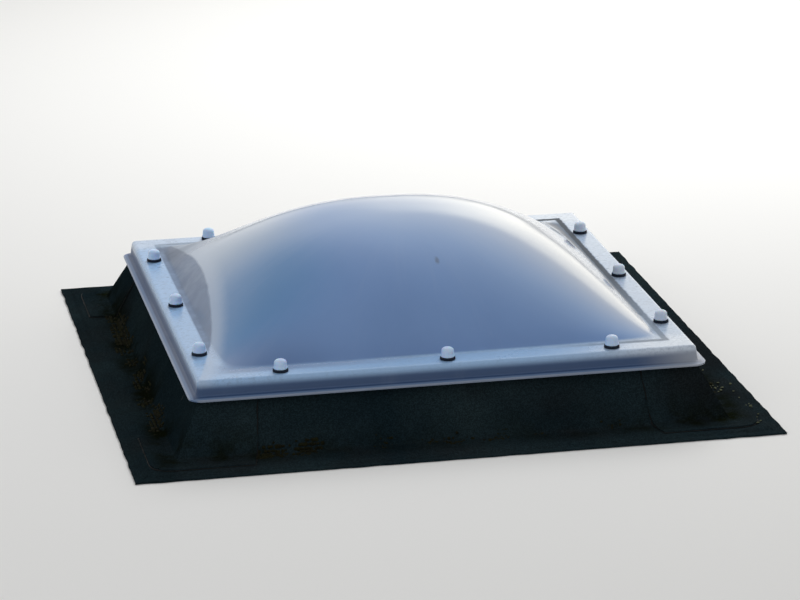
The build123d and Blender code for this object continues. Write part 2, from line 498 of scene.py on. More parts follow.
@dataclass(frozen=True)
class Finish:
    """A material with its plain values; each kind of surface adds its own nodes.

    Attributes:
        name: Name of the material.
        colour: Main colour, linear.
        second: Colour that the main one varies towards.
        roughness: Middle roughness.
        spread: How far roughness varies to each side.
        grain: Number of grains to a metre in the fine bump.
        relief: Depth of the fine bump, in metres.
        gloss: Strength of the surface's shine, 0.5 as on plain plastic.
    """

    name: str
    colour: Colour
    second: Colour
    roughness: float = 0.6
    spread: float = 0.1
    grain: float = 120.0
    relief: float = 0.0004
    gloss: float = 0.5

    def build(self) -> Material:
        """Makes the material.

        Returns:
            The new material, with its nodes.
        """
        material = bpy.data.materials.new(self.name)
        material.use_nodes = True
        shader = ShaderTree(material.node_tree)
        shader.surface.inputs["Specular IOR Level"].default_value = self.gloss
        self.dress(shader)
        log.info("finish %s", self.name)
        return material

    def tone(self, shader: ShaderTree, scale: float = 5.0, contrast: float = 2.2) -> Socket:
        """Soft uneven tone from 0 to 1."""
        return cloudy_tone.place(shader, Scale=scale, Contrast=contrast)[0]

    def mixed(self, shader: ShaderTree, tone: Socket) -> Socket:
        """The main colour, which goes towards the second one with a tone."""
        return shader.blend(tone, self.colour, self.second)

    def rough(self, shader: ShaderTree, tone: Socket) -> Socket:
        """Roughness that goes with a tone."""
        return shader.step(tone, 0.0, 1.0, self.roughness - self.spread, self.roughness + self.spread)

    def fine(self, shader: ShaderTree, strength: float, below: Socket | None = None) -> Socket:
        """Normal of the fine bump."""
        height = fine_grain.place(shader, Scale=self.grain)[0]
        return shader.bump(height, strength, self.relief, below)

    def dress(self, shader: ShaderTree) -> None:
        """A plain surface with uneven colour and roughness and a fine bump.

        Args:
            shader: Builder of the material's nodes.
        """
        tone = self.tone(shader)
        shader.feed(self.mixed(shader, tone), self.rough(shader, tone), self.fine(shader, 0.6))


@dataclass(frozen=True)
class BowedLine:
    """A line along the dome's foot that bows outwards to both ends.

    Attributes:
        middle: Place along Y of its innermost point.
        bend: How strongly it bows.
        reach: Distance of its innermost point from the middle along X.
    """

    middle: float
    bend: float
    reach: float

    def out(self, shader: ShaderTree) -> Socket:
        """Distance of the line from the middle beside each place."""
        bow = shader.math("POWER", shader.off(shader.at[Along.NORTH], self.middle), 2.0)
        return shader.math("MULTIPLY_ADD", bow, self.bend, self.reach)


@dataclass(frozen=True)
class OpalFinish(Finish):
    """Glossy opal sheet, weathered: blue-grey dome and paler flange, with painted light, shade, highlights
    and reflections on dome, flange and skirt.

    Attributes:
        flange_top: Height of the flange's upper face.
        foot: Distance of the dome's foot from the middle.
        edge: Distance of the flange's edge from the middle.
        screw_row: Distance of the screw rows from the middle.
        screw_pitch: Distance between the screws of a row.
        flange: Colour of the flange, where the kerb backs the sheet.
        skirt: Colour of the skirt below the flange, darkened as painted shade.
        lip: Colour of the flared lip, which faces up, painted lighter than the skirt's painted shade.
        lit: Colour of painted light on the slopes that turn part way towards the bright back right.
        lit_and_weathered: Pale colour of painted light towards the bright back right, on slopes, flange,
            skirt and lip edge, and also the colour of the rain marks.
        shaded: Colour of the slope on the near left.
        hazy: Colour of the painted reflection in a band along the left foot, and of the mottle on the
            flange's sides.
        ridge: Colour of the painted highlight, a pale line beside that band.
        dirt_and_shade: Colour of grime along the foot and of the speck, and of painted shade: the dark
            reflection on the right foot and the shadow round the washers.
        flange_glare: Colour of painted light on the flange's far side and at its near right end.
        far_left_highlight: Colour of the painted highlight on the far half of the left slope.
        corner_shade: Colour of painted shade at the near-left corner's foot.
        reflection_line: Inner edge of the band of painted reflection along the left foot.
        right_reflection_line: Middle of the soft edge of the painted dark reflection along the right foot.
        speck_place: Where the small dark speck on the near slope is.
    """

    flange_top: float = 0.0
    foot: float = 0.0
    edge: float = 0.0
    screw_row: float = 0.0
    screw_pitch: float = 0.0
    flange: Colour = srgb(148, 183, 222)
    skirt: Colour = srgb(38, 67, 106)
    lip: Colour = srgb(96, 120, 155)
    lit: Colour = srgb(128, 158, 200)
    lit_and_weathered: Colour = srgb(188, 192, 198)
    shaded: Colour = srgb(56, 118, 172)
    hazy: Colour = srgb(106, 122, 148)
    ridge: Colour = srgb(168, 184, 206)
    dirt_and_shade: Colour = srgb(74, 76, 78)
    flange_glare: Colour = srgb(214, 222, 232)
    far_left_highlight: Colour = srgb(222, 224, 222)
    corner_shade: Colour = srgb(52, 88, 136)
    reflection_line: BowedLine = BowedLine(0.15, 0.22, 0.435)
    right_reflection_line: BowedLine = BowedLine(0.25, 0.10, 0.446)
    speck_place: tuple[float, float, float] = (0.030, -0.272, 0.312)

    @property
    def under_flange(self) -> Fade:
        """Fade from the flange down to the skirt."""
        return Fade(Along.UP, self.flange_top - 0.004, self.flange_top - 0.021)

    @property
    def over_skirt(self) -> Fade:
        """Fade from the skirt's upper edge to the flange."""
        return Fade(Along.UP, self.flange_top - 0.002, self.flange_top)

    def dress(self, shader: ShaderTree) -> None:
        """Zones of painted light and shade by place and facing, then painted reflections and highlights,
        rain marks, grime and painted shadow, over a wavy glossy sheet.

        Args:
            shader: Builder of the material's nodes.
        """
        shader.surface.inputs["IOR"].default_value = ACRYLIC_IOR
        tone = self.tone(shader, 2.6, 2.4)
        runs = rain_runs.place(shader, Count=8.0, Amount=0.3)[0]
        dust = settled_dust.place(shader, Amount=0.3, Scale=6.0)[0]
        on_dome = shader.mask(Fade(Along.UP, self.flange_top + 0.0003, self.flange_top + 0.004))
        slopes = self.slopes(shader, tone)
        base = shader.blend(on_dome, self.top_face(shader, slopes), slopes)
        base, band = self.toned(shader, base)
        base = self.skirted(shader, base)
        base = shader.blend(shader.times(runs, 0.12), base, self.lit_and_weathered)
        groove = self.groove(shader)
        # Darker marks along the foot, painted shadow round the washers and the speck, all in one dark
        # colour.
        for mask in (groove, self.rings(shader), self.speck(shader)):
            base = shader.blend(mask, base, self.dirt_and_shade)
        dull = shader.most(shader.times(band, 0.35), shader.times(groove, 0.9))
        matt = ((runs, 0.07), (dust, 0.25), (shader.mask(self.under_flange), 0.2),
                (shader.math("SUBTRACT", 1.0, on_dome), 0.14))
        rough = shader.total(self.rough(shader, tone), *(shader.times(*pair) for pair in matt), dull)
        waves = shader.bump(shader.noise(shader.position(), 7.0, 2.0), 0.35, 0.0016)
        shader.feed(base, rough, self.fine(shader, 0.3, waves))

    def slopes(self, shader: ShaderTree, tone: Socket) -> Socket:
        """Colour of the dome, with painted light and shade by which way each slope faces and by its corner.

        Args:
            shader: Builder of the material's nodes.
            tone: Soft uneven tone.

        Returns:
            The colour.
        """
        return shader.zoned(
            self.mixed(shader, tone),
            # Painted shade on slopes facing left, painted light on slopes facing the bright back right, a
            # painted highlight on the far left slope and painted shade at the near-left corner's foot.
            Zone(self.shaded, [Fade(Along.FACING_EAST, -0.06, -0.46)]),
            Zone(self.lit, [Fade(Along.FACING_BRIGHT_SIDE, -0.5, -0.05)]),
            Zone(self.lit_and_weathered, [Fade(Along.FACING_BRIGHT_SIDE, -0.22, 0.46, end=0.8)]),
            Zone(self.far_left_highlight, [Fade(Along.NORTH, -0.16, 0.2), Fade(Along.EAST, -0.15, -0.32, end=0.45)]),
            Zone(self.corner_shade, [Fade(Along.NORTH, -0.34, -0.48), Fade(Along.EAST, -0.18, -0.4, end=0.6)]))

    def top_face(self, shader: ShaderTree, slopes: Socket) -> Socket:
        """Colour of the flange: painted light on the right, behind and at its near right end, mottled to the
        sides.

        Args:
            shader: Builder of the material's nodes.
            slopes: Colour of the dome, which the near strip's left part takes too.

        Returns:
            The colour.
        """
        base = shader.zoned(
            self.flange,
            # Painted light on the flange's right part, far side and near right end.
            Zone(self.lit_and_weathered, [Fade(Along.EAST, 0.15, 0.55, end=0.5)]),
            Zone(self.flange_glare, [Fade(Along.NORTH, 0.44, 0.5, end=0.5)]),
            Zone(self.flange_glare, [Fade(Along.EAST, 0.3, 0.5, end=0.62), Fade(Along.NORTH, -0.44, -0.5)]))
        near_strip = shader.mask(Fade(Along.NORTH, -0.522, -0.502), Fade(Along.NORTH, -0.42, -0.48),
                                 Fade(Along.EAST, 0.0, -0.25, end=0.75), Fade(Along.EAST, -0.53, -0.46))
        mottle = shader.times(shader.patches(120.0, 0.44, 0.7, end=0.4, roughness=0.7),
                              shader.mask(Fade(Along.ASIDE, 0.3, 0.49, 0.35)))
        return shader.blend(mottle, shader.blend(near_strip, base, slopes), self.hazy)

    def skirted(self, shader: ShaderTree, base: Socket) -> Socket:
        """Adds the skirt in painted shade, its lip painted lighter with a painted highlight on its edge, and
        painted light on its right part.

        Args:
            shader: Builder of the material's nodes.
            base: Colour of the sheet so far.

        Returns:
            The colour with them.
        """
        base = shader.zoned(
            base,
            # Painted shade on the skirt, the lip painted lighter as it faces up, and a painted highlight on
            # the lip's outer edge.
            Zone(self.skirt, [self.under_flange]),
            Zone(self.lip, [self.under_flange, Fade(Along.REACH, self.edge + 0.009, self.edge + 0.013)]),
            Zone(self.lit_and_weathered, [self.under_flange,
                                 Fade(Along.REACH, self.edge + 0.0155, self.edge + 0.019, end=0.35)]))
        # Painted light on the skirt's right part.
        right = shader.most(shader.mask(Fade(Along.FACING_EAST, 0.3, 0.9)),
                            shader.mask(Fade(Along.EAST, 0.4, 0.58)))
        right_light = shader.times(shader.mask(self.under_flange), right, 0.6)
        return shader.blend(right_light, base, self.lit_and_weathered)

    def toned(self, shader: ShaderTree, base: Socket) -> tuple[Socket, Socket]:
        """Adds a mottled band of painted reflection along the dome's left foot, and a painted highlight as a
        pale line beside it.

        Args:
            shader: Builder of the material's nodes.
            base: Colour of the sheet so far.

        Returns:
            The colour with both, and the band's mask.
        """
        past = shader.total(shader.at[Along.EAST], self.reflection_line.out(shader))
        past = shader.ragged(past, 18.0, 0.010, 0.6)
        # A painted highlight as a pale line, beside a band of painted reflection.
        pale = shader.times(shader.step(past, -0.004, 0.002), shader.step(past, 0.045, 0.008), 0.55)
        band = shader.times(shader.step(past, 0.003, -0.003), shader.patches(30.0, 0.3, 0.7, 0.8, 0.98),
                            shader.mask(Fade(Along.EAST, -self.foot - 0.014, -self.foot - 0.008)),
                            shader.step(shader.off(shader.at[Along.NORTH]), self.foot, self.foot - 0.03))
        return shader.blend(band, shader.blend(pale, base, self.ridge), self.hazy), band

    def groove(self, shader: ShaderTree) -> Socket:
        """Darker marks along the dome's foot: heavy on the right, a line on the far side, patches elsewhere,
        with the painted dark reflection on the right foot and the smudge on the far left corner.

        Args:
            shader: Builder of the material's nodes.

        Returns:
            The mask of the dirt.
        """
        reach = shader.at[Along.REACH]
        patches = shader.times(shader.step(shader.off(reach, self.foot), 0.011, 0.001),
                               shader.patches(22.0, 0.38, 0.7), 0.16)
        right = shader.mask(Fade(Along.EAST, 0.15, 0.4), Fade(Along.NORTH, -0.5, 0.15, 0.5, 0.9))
        far = shader.mask(Fade(Along.NORTH, 0.4, 0.47, end=0.4))
        outward = shader.ragged(shader.off(reach, self.foot + 0.006), 60.0, 0.008, 0.6)
        line = shader.times(shader.step(outward, 0.0145, 0.0085), shader.most(right, far))
        darker_marks = shader.most(patches, line, self.right_dark_reflection(shader), self.far_smudge(shader))
        return shader.times(darker_marks, shader.mask(self.over_skirt))

    def right_dark_reflection(self, shader: ShaderTree) -> Socket:
        """Painted dark reflection on the dome's right foot, with a soft uneven inner edge.

        Args:
            shader: Builder of the material's nodes.

        Returns:
            The mask of the film.
        """
        past = shader.math("SUBTRACT", shader.at[Along.EAST], self.right_reflection_line.out(shader))
        uneven = shader.noise(shader.stretch((10.0, 30.0, 10.0)), 1.0, 4.0, 0.55)
        past = shader.math("MULTIPLY_ADD", shader.math("SUBTRACT", uneven, 0.5), 0.05, past)
        bounds = shader.mask(Fade(Along.EAST, self.foot + 0.012, self.foot + 0.004),
                             Fade(Along.NORTH, -self.foot - 0.006, -self.foot + 0.012),
                             Fade(Along.NORTH, 0.49, 0.44))
        return shader.times(shader.step(past, -0.02, 0.026, 0.0, 0.68), bounds)

    def far_smudge(self, shader: ShaderTree) -> Socket:
        """Uneven smudge on the dome's far left corner."""
        corner = shader.mask(Fade(Along.NORTH, 0.2, 0.42), Fade(Along.EAST, -0.26, -0.38),
                             Fade(Along.REACH, self.foot + 0.006, self.foot - 0.004))
        return shader.times(corner, shader.patches(9.0, 0.35, 0.65, 0.3, 0.5))

    def rings(self, shader: ShaderTree) -> Socket:
        """Painted shadow in a ring round each washer.

        Args:
            shader: Builder of the material's nodes.

        Returns:
            The mask of the dirt.
        """
        along = shader.math("MINIMUM", shader.at[Along.ASIDE], shader.off(shader.at[Along.NORTH]))
        number = shader.math("ROUND", shader.math("DIVIDE", along, self.screw_pitch))
        nearest = shader.times(number, self.screw_pitch)
        sideways = shader.math("SUBTRACT", along, nearest)
        outward = shader.math("SUBTRACT", shader.at[Along.REACH], self.screw_row)
        offset = shader.add("ShaderNodeCombineXYZ", {0: sideways, 1: outward}).outputs[0]
        far = shader.ragged(shader.vector("LENGTH", offset), 120.0, 0.006)
        return shader.times(shader.step(far, 0.0235, 0.0195, 0.0, 0.26), shader.mask(self.over_skirt))

    def speck(self, shader: ShaderTree) -> Socket:
        """The small dark speck on the near slope, taller than wide.

        Args:
            shader: Builder of the material's nodes.

        Returns:
            The mask of the speck.
        """
        off = shader.vector("SUBTRACT", shader.position(), self.speck_place)
        rounded = shader.vector("MULTIPLY", off, (1.8, 0.7, 0.7))
        far = shader.ragged(shader.vector("LENGTH", rounded), 160.0, 0.012)
        return shader.step(far, 0.019, 0.008, 0.0, 0.5)


@dataclass(frozen=True)
class CapFinish(Finish):
    """Pale translucent moulded plastic.

    Attributes:
        dusty: Colour of dust on the caps.
        right_lit: Colour of painted light on the caps on the right side.
    """

    dusty: Colour = srgb(208, 222, 240)
    right_lit: Colour = srgb(214, 220, 228)

    def dress(self, shader: ShaderTree) -> None:
        """Uneven pale plastic with a little light let through, dusty on top.

        Args:
            shader: Builder of the material's nodes.
        """
        shader.surface.inputs["IOR"].default_value = ACRYLIC_IOR
        shader.surface.inputs["Subsurface Weight"].default_value = 0.25
        shader.surface.inputs["Subsurface Scale"].default_value = 0.004
        tone = self.tone(shader, 60.0, 1.8)
        dust = settled_dust.place(shader, Amount=0.5, Scale=90.0)[0]
        base = shader.blend(dust, self.mixed(shader, tone), self.dusty)
        # Painted light on the caps on the right side.
        base = shader.blend(shader.step(shader.axes()[0], 0.3, 0.52, 0.0, 0.6), base, self.right_lit)
        shader.feed(base, self.rough(shader, tone), self.fine(shader, 0.5))


@dataclass(frozen=True)
class FeltFinish(Finish):
    """Mineral roofing felt: granules, dusty top faces, painted shade on the left side and green growth.

    Attributes:
        brown: Warm cast in patches.
        pale: Colour of dust and worn granules on top faces.
        green: Colour of algae near the foot.
        foot: Distance of the kerb's foot from the middle.
        left_shade: How bright the painted shade leaves the left side, as a share of the rest.
    """

    brown: Colour = srgb(25, 21, 20)
    pale: Colour = srgb(34, 39, 41)
    green: Colour = srgb(18, 22, 12)
    foot: float = 0.605
    left_shade: float = 0.74

    def dress(self, shader: ShaderTree) -> None:
        """Granules with soft stains, dust and algae over them.

        Args:
            shader: Builder of the material's nodes.
        """
        speckle, height = mineral_granules.place(shader, Scale=self.grain)
        tone = self.tone(shader, 3.2, 3.0)
        warm = shader.times(shader.patches(2.1, 0.5, 0.68, detail=3.0), 0.55)
        dust = settled_dust.place(shader, Amount=0.75, Scale=5.0)[0]
        base = self.mixed(shader, tone)
        for mask, colour in ((warm, self.brown), (dust, self.pale), (self.algae(shader), self.green)):
            base = shader.blend(mask, base, colour)
        # Painted shade on the felt's left side.
        left = shader.most(shader.mask(Fade(Along.FACING_EAST, -0.3, -0.8)),
                           shader.mask(Fade(Along.EAST, -0.59, -0.64)))
        bright = shader.times(shader.step(speckle, 0.2, 1.0, 0.72, 1.35),
                              shader.step(left, 0.0, 1.0, 1.0, self.left_shade))
        grey = shader.add("ShaderNodeCombineColor", {0: bright, 1: bright, 2: bright}).outputs[0]
        waves = shader.bump(shader.noise(shader.position(), 16.0, 4.0, 0.6), 0.6, 0.003)
        shader.feed(shader.blend(1.0, base, grey, "MULTIPLY"), self.rough(shader, tone),
                    shader.bump(height, 0.8, self.relief, waves))

    def algae(self, shader: ShaderTree) -> Socket:
        """Green growth in patches round the kerb's foot, thickest on the left and right."""
        band = shader.step(shader.off(shader.at[Along.REACH], self.foot + 0.012), 0.05, 0.005)
        return shader.times(band, shader.patches(8.0, 0.42, 0.6, detail=6.0, roughness=0.65),
                            shader.mask(Fade(Along.ASIDE, 0.2, 0.6, 0.35)))


@dataclass(frozen=True)
class MossFinish(Finish):
    """Growth with a soft, fibrous surface.

    Attributes:
        dry: Colour of dead growth.
    """

    dry: Colour = srgb(30, 23, 16)

    def dress(self, shader: ShaderTree) -> None:
        """Two greens in patches, with dead growth between.

        Args:
            shader: Builder of the material's nodes.
        """
        tone, height = mineral_granules.place(shader, Scale=self.grain)
        base = self.mixed(shader, self.tone(shader, 70.0, 3.0))
        shader.feed(shader.blend(shader.times(tone, 0.6), base, self.dry), self.rough(shader, tone),
                    shader.bump(height, 1.0, self.relief))


@dataclass(frozen=True)
class TimberFinish(Finish):
    """Sawn softwood with grain along one axis.

    Attributes:
        along: Scale of the growth rings along each axis, least along the batten.
    """

    along: tuple[float, float, float] = (1.0, 1.0, 1.0)

    def dress(self, shader: ShaderTree) -> None:
        """Growth rings stretched along the batten.

        Args:
            shader: Builder of the material's nodes.
        """
        rings = shader.noise(shader.stretch(self.along), self.grain, 6.0, 0.6, 1.2)
        share = shader.step(rings, 0.35, 0.65)
        shader.feed(self.mixed(shader, share), self.rough(shader, share),
                    shader.bump(rings, 0.5, self.relief))


@dataclass(frozen=True)
class LaminateFinish(Finish):
    """Glass-fibre laminate: short strands showing in the resin.

    Attributes:
        strands: How strongly the strands show.
    """

    strands: float = 0.5

    def dress(self, shader: ShaderTree) -> None:
        """Crossed stretched noises as chopped strands under the resin.

        Args:
            shader: Builder of the material's nodes.
        """
        crossed = ((9.0, 1.3, 3.0), (1.3, 9.0, 3.0))
        strands = shader.most(*(shader.noise(shader.stretch(scale), 38.0, 2.0) for scale in crossed))
        tone = self.tone(shader, 3.0, 2.0)
        toned = self.mixed(shader, shader.times(tone, 0.25))
        share = shader.times(shader.step(strands, 0.5, 0.7), self.strands)
        shader.feed(shader.blend(share, toned, self.second), self.rough(shader, tone),
                    shader.bump(strands, 0.4, self.relief))


@dataclass(frozen=True)
class ClearFinish(Finish):
    """Clear sheet, polished, with a faint film of dust."""

    def dress(self, shader: ShaderTree) -> None:
        """Plain transmission, with film only in the roughness.

        Args:
            shader: Builder of the material's nodes.
        """
        shader.surface.inputs["Transmission Weight"].default_value = 1.0
        shader.surface.inputs["IOR"].default_value = ACRYLIC_IOR
        tone = self.tone(shader, 4.0, 2.0)
        shader.feed(self.mixed(shader, tone), self.rough(shader, tone), self.fine(shader, 0.1))


@dataclass(frozen=True)
class MetalFinish(Finish):
    """Plain stainless steel with fine handling marks."""

    def dress(self, shader: ShaderTree) -> None:
        """A metal surface with uneven roughness."""
        shader.surface.inputs["Metallic"].default_value = 1.0
        super().dress(shader)


def new_piece(name: str, points: Sequence[Sequence[float]], faces: Sequence[Sequence[int]],
              material: Material, crease: float = 40.0) -> Piece:
    """Makes a mesh object that moves with the part.

    Args:
        name: Name of the piece.
        points: Places of the corners, in metres.
        faces: Corner numbers of each face.
        material: The finish that it gets.
        crease: Angle in degrees above which an edge stays sharp.

    Returns:
        The new object, riding on the part's one body.
    """
    mesh = bpy.data.meshes.new(name)
    mesh.from_pydata([tuple(point) for point in points], [], [tuple(face) for face in faces])
    mesh.validate()
    mesh.shade_smooth()
    mesh.set_sharp_from_angle(angle=math.radians(crease))
    mesh.materials.append(material)
    piece = bpy.data.objects.new(name, mesh)
    bpy.context.scene.collection.objects.link(piece)
    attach(piece, "root")
    log.info("piece %s: %d faces", name, len(mesh.polygons))
    return piece


def stand_for(piece: Piece, slot: Slot, *nodes: str) -> None:
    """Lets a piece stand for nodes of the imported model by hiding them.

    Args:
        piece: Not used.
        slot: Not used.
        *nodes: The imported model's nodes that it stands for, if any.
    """
    if nodes:
        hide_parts(*nodes)


class Bits:
    """Points and faces of a piece, gathered bit by bit."""

    def __init__(self) -> None:
        """Starts with nothing."""
        self.points: list[Sequence[float]] = []
        self.faces: Faces = []

    def add(self, points: Iterable[Sequence[float]], faces: Iterable[Sequence[int]]) -> None:
        """Adds one bit.

        Args:
            points: Its points.
            faces: Its faces, which count its own points from 0.
        """
        start = len(self.points)
        self.points += points
        self.faces += [tuple(start + k for k in face) for face in faces]

    def piece(self, name: str, material: Material, crease: float, slot: Slot, *nodes: str) -> Piece:
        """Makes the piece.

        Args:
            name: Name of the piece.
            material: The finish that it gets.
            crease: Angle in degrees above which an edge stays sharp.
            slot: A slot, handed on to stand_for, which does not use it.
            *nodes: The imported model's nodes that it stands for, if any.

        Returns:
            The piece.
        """
        piece = new_piece(name, self.points, self.faces, material, crease)
        stand_for(piece, slot, *nodes)
        return piece


def tube_faces(rings: int, around: int, closed: bool = False) -> Faces:
    """Faces between rings of points that are numbered ring by ring.

    Args:
        rings: How many rings there are.
        around: Points in each ring.
        closed: True if the last ring joins the first one.

    Returns:
        Corner numbers of each four-sided face.
    """
    faces = []
    for ring in range(rings if closed else rings - 1):
        start, after = ring * around, (ring + 1) % rings * around
        for k in range(around):
            right = (k + 1) % around
            faces.append((start + k, start + right, after + right, after + k))
    return faces


def rod_faces(rings: int, around: int) -> Faces:
    """Faces between rings of points, with both ends filled."""
    first, last = tuple(range(around)), tuple(range((rings - 1) * around, rings * around))
    return tube_faces(rings, around) + [first[::-1], last]


def across_fold(points: Iterable[Vector]) -> list[Vector]:
    """Points mirrored from one side of a corner's diagonal to the other."""
    return [Vector((p.y, p.x, p.z)) for p in points]


class Pen:
    """Draws the middle line of a bent sheet by going forward and turning."""

    def __init__(self, across: float, up: float, heading: float) -> None:
        """Starts the line.

        Args:
            across: Distance of the start from the middle of the part.
            up: Height of the start.
            heading: Direction in degrees, 0 outwards and -90 down.
        """
        self.place = Vector((across, up))
        self.heading = math.radians(heading)
        self.stops: list[tuple[Vector, float]] = [(self.place.copy(), self.heading)]

    def forward(self, length: float, steps: int = 1) -> None:
        """Goes straight on.

        Args:
            length: How far.
            steps: Points along the way.
        """
        for _ in range(steps):
            self.place = self.place + self._ahead(self.heading) * (length / steps)
            self.stops.append((self.place.copy(), self.heading))

    def turn(self, radius: float, angle: float, steps: int) -> None:
        """Goes round a bend.

        Args:
            radius: Radius of the bend.
            angle: Turn in degrees, positive upwards and negative downwards.
            steps: Points along the bend.
        """
        sign = 1 if angle > 0 else -1
        centre = self.place + self._ahead(self.heading + sign * math.pi / 2) * radius
        start = self.heading
        for i in range(1, steps + 1):
            self.heading = start + math.radians(angle) * i / steps
            self.place = centre - self._ahead(self.heading + sign * math.pi / 2) * radius
            self.stops.append((self.place.copy(), self.heading))

    def side(self, offset: float) -> list[Vector]:
        """The line moved to its upper side by an offset."""
        return [place + self._ahead(heading + math.pi / 2) * offset for place, heading in self.stops]

    @staticmethod
    def _ahead(heading: float) -> Vector:
        """Unit step in a direction."""
        return Vector((math.cos(heading), math.sin(heading)))


def rounded_line(points: Sequence[tuple[float, float]], radii: Sequence[float], steps: int = 5) -> Path:
    """A line through points with its corners rounded.

    Args:
        points: The line's corners, from end to end.
        radii: Radius at each inner corner.
        steps: Points along each bend.

    Returns:
        Points of the rounded line.
    """
    line = [tuple(points[0])]
    for before, corner, after, radius in zip(points, points[1:], points[2:], radii):
        here = Vector(corner)
        back, ahead = (Vector(before) - here).normalized(), (Vector(after) - here).normalized()
        half = back.angle(ahead) / 2
        centre = here + (back + ahead).normalized() * (radius / math.sin(half))
        start, end = here + back * (radius / math.tan(half)), here + ahead * (radius / math.tan(half))
        for i in range(steps + 1):
            spoke = (start - centre).lerp(end - centre, i / steps).normalized() * radius
            line.append(tuple(centre + spoke))
    line.append(tuple(points[-1]))
    return line


def evenly(line: Path, spacing: float) -> Path:
    """A line with points added so that none are further apart than a spacing.

    Args:
        line: The line.
        spacing: Largest distance between its points.

    Returns:
        The line with the points added.
    """
    dense = [line[0]]
    for first, second in zip(line, line[1:]):
        count = max(1, math.ceil(math.dist(first, second) / spacing))
        for i in range(1, count + 1):
            dense.append(tuple(a + (b - a) * i / count for a, b in zip(first, second)))
    return dense


def line_normals(line: Path) -> list[Vector]:
    """Unit normals at a line's points, to the left of its direction.

    Args:
        line: The line.

    Returns:
        One normal for each point.
    """
    normals = []
    for i in range(len(line)):
        first, second = Vector(line[max(i - 1, 0)]), Vector(line[min(i + 1, len(line) - 1)])
        along = (second - first).normalized()
        normals.append(Vector((-along.y, along.x)))
    return normals


def square_loop(reach: float, rounding: float, per_side: int, per_corner: int) -> Path:
    """Points round a square with rounded corners, the same number at every size.

    Args:
        reach: Distance of the sides from the middle.
        rounding: Radius of the corners.
        per_side: Points on each straight side.
        per_corner: Further points on each corner.

    Returns:
        Points in order, starting near the far right corner.
    """
    inner = reach - rounding
    quarter = [(reach, inner * (2 * i / (per_side - 1) - 1)) for i in range(per_side)]
    for i in range(1, per_corner + 1):
        angle = math.pi / 2 * i / (per_corner + 1)
        quarter.append((inner + rounding * math.cos(angle), inner + rounding * math.sin(angle)))
    loop = []
    for _ in range(4):
        loop += quarter
        quarter = [(-y, x) for x, y in quarter]
    return loop


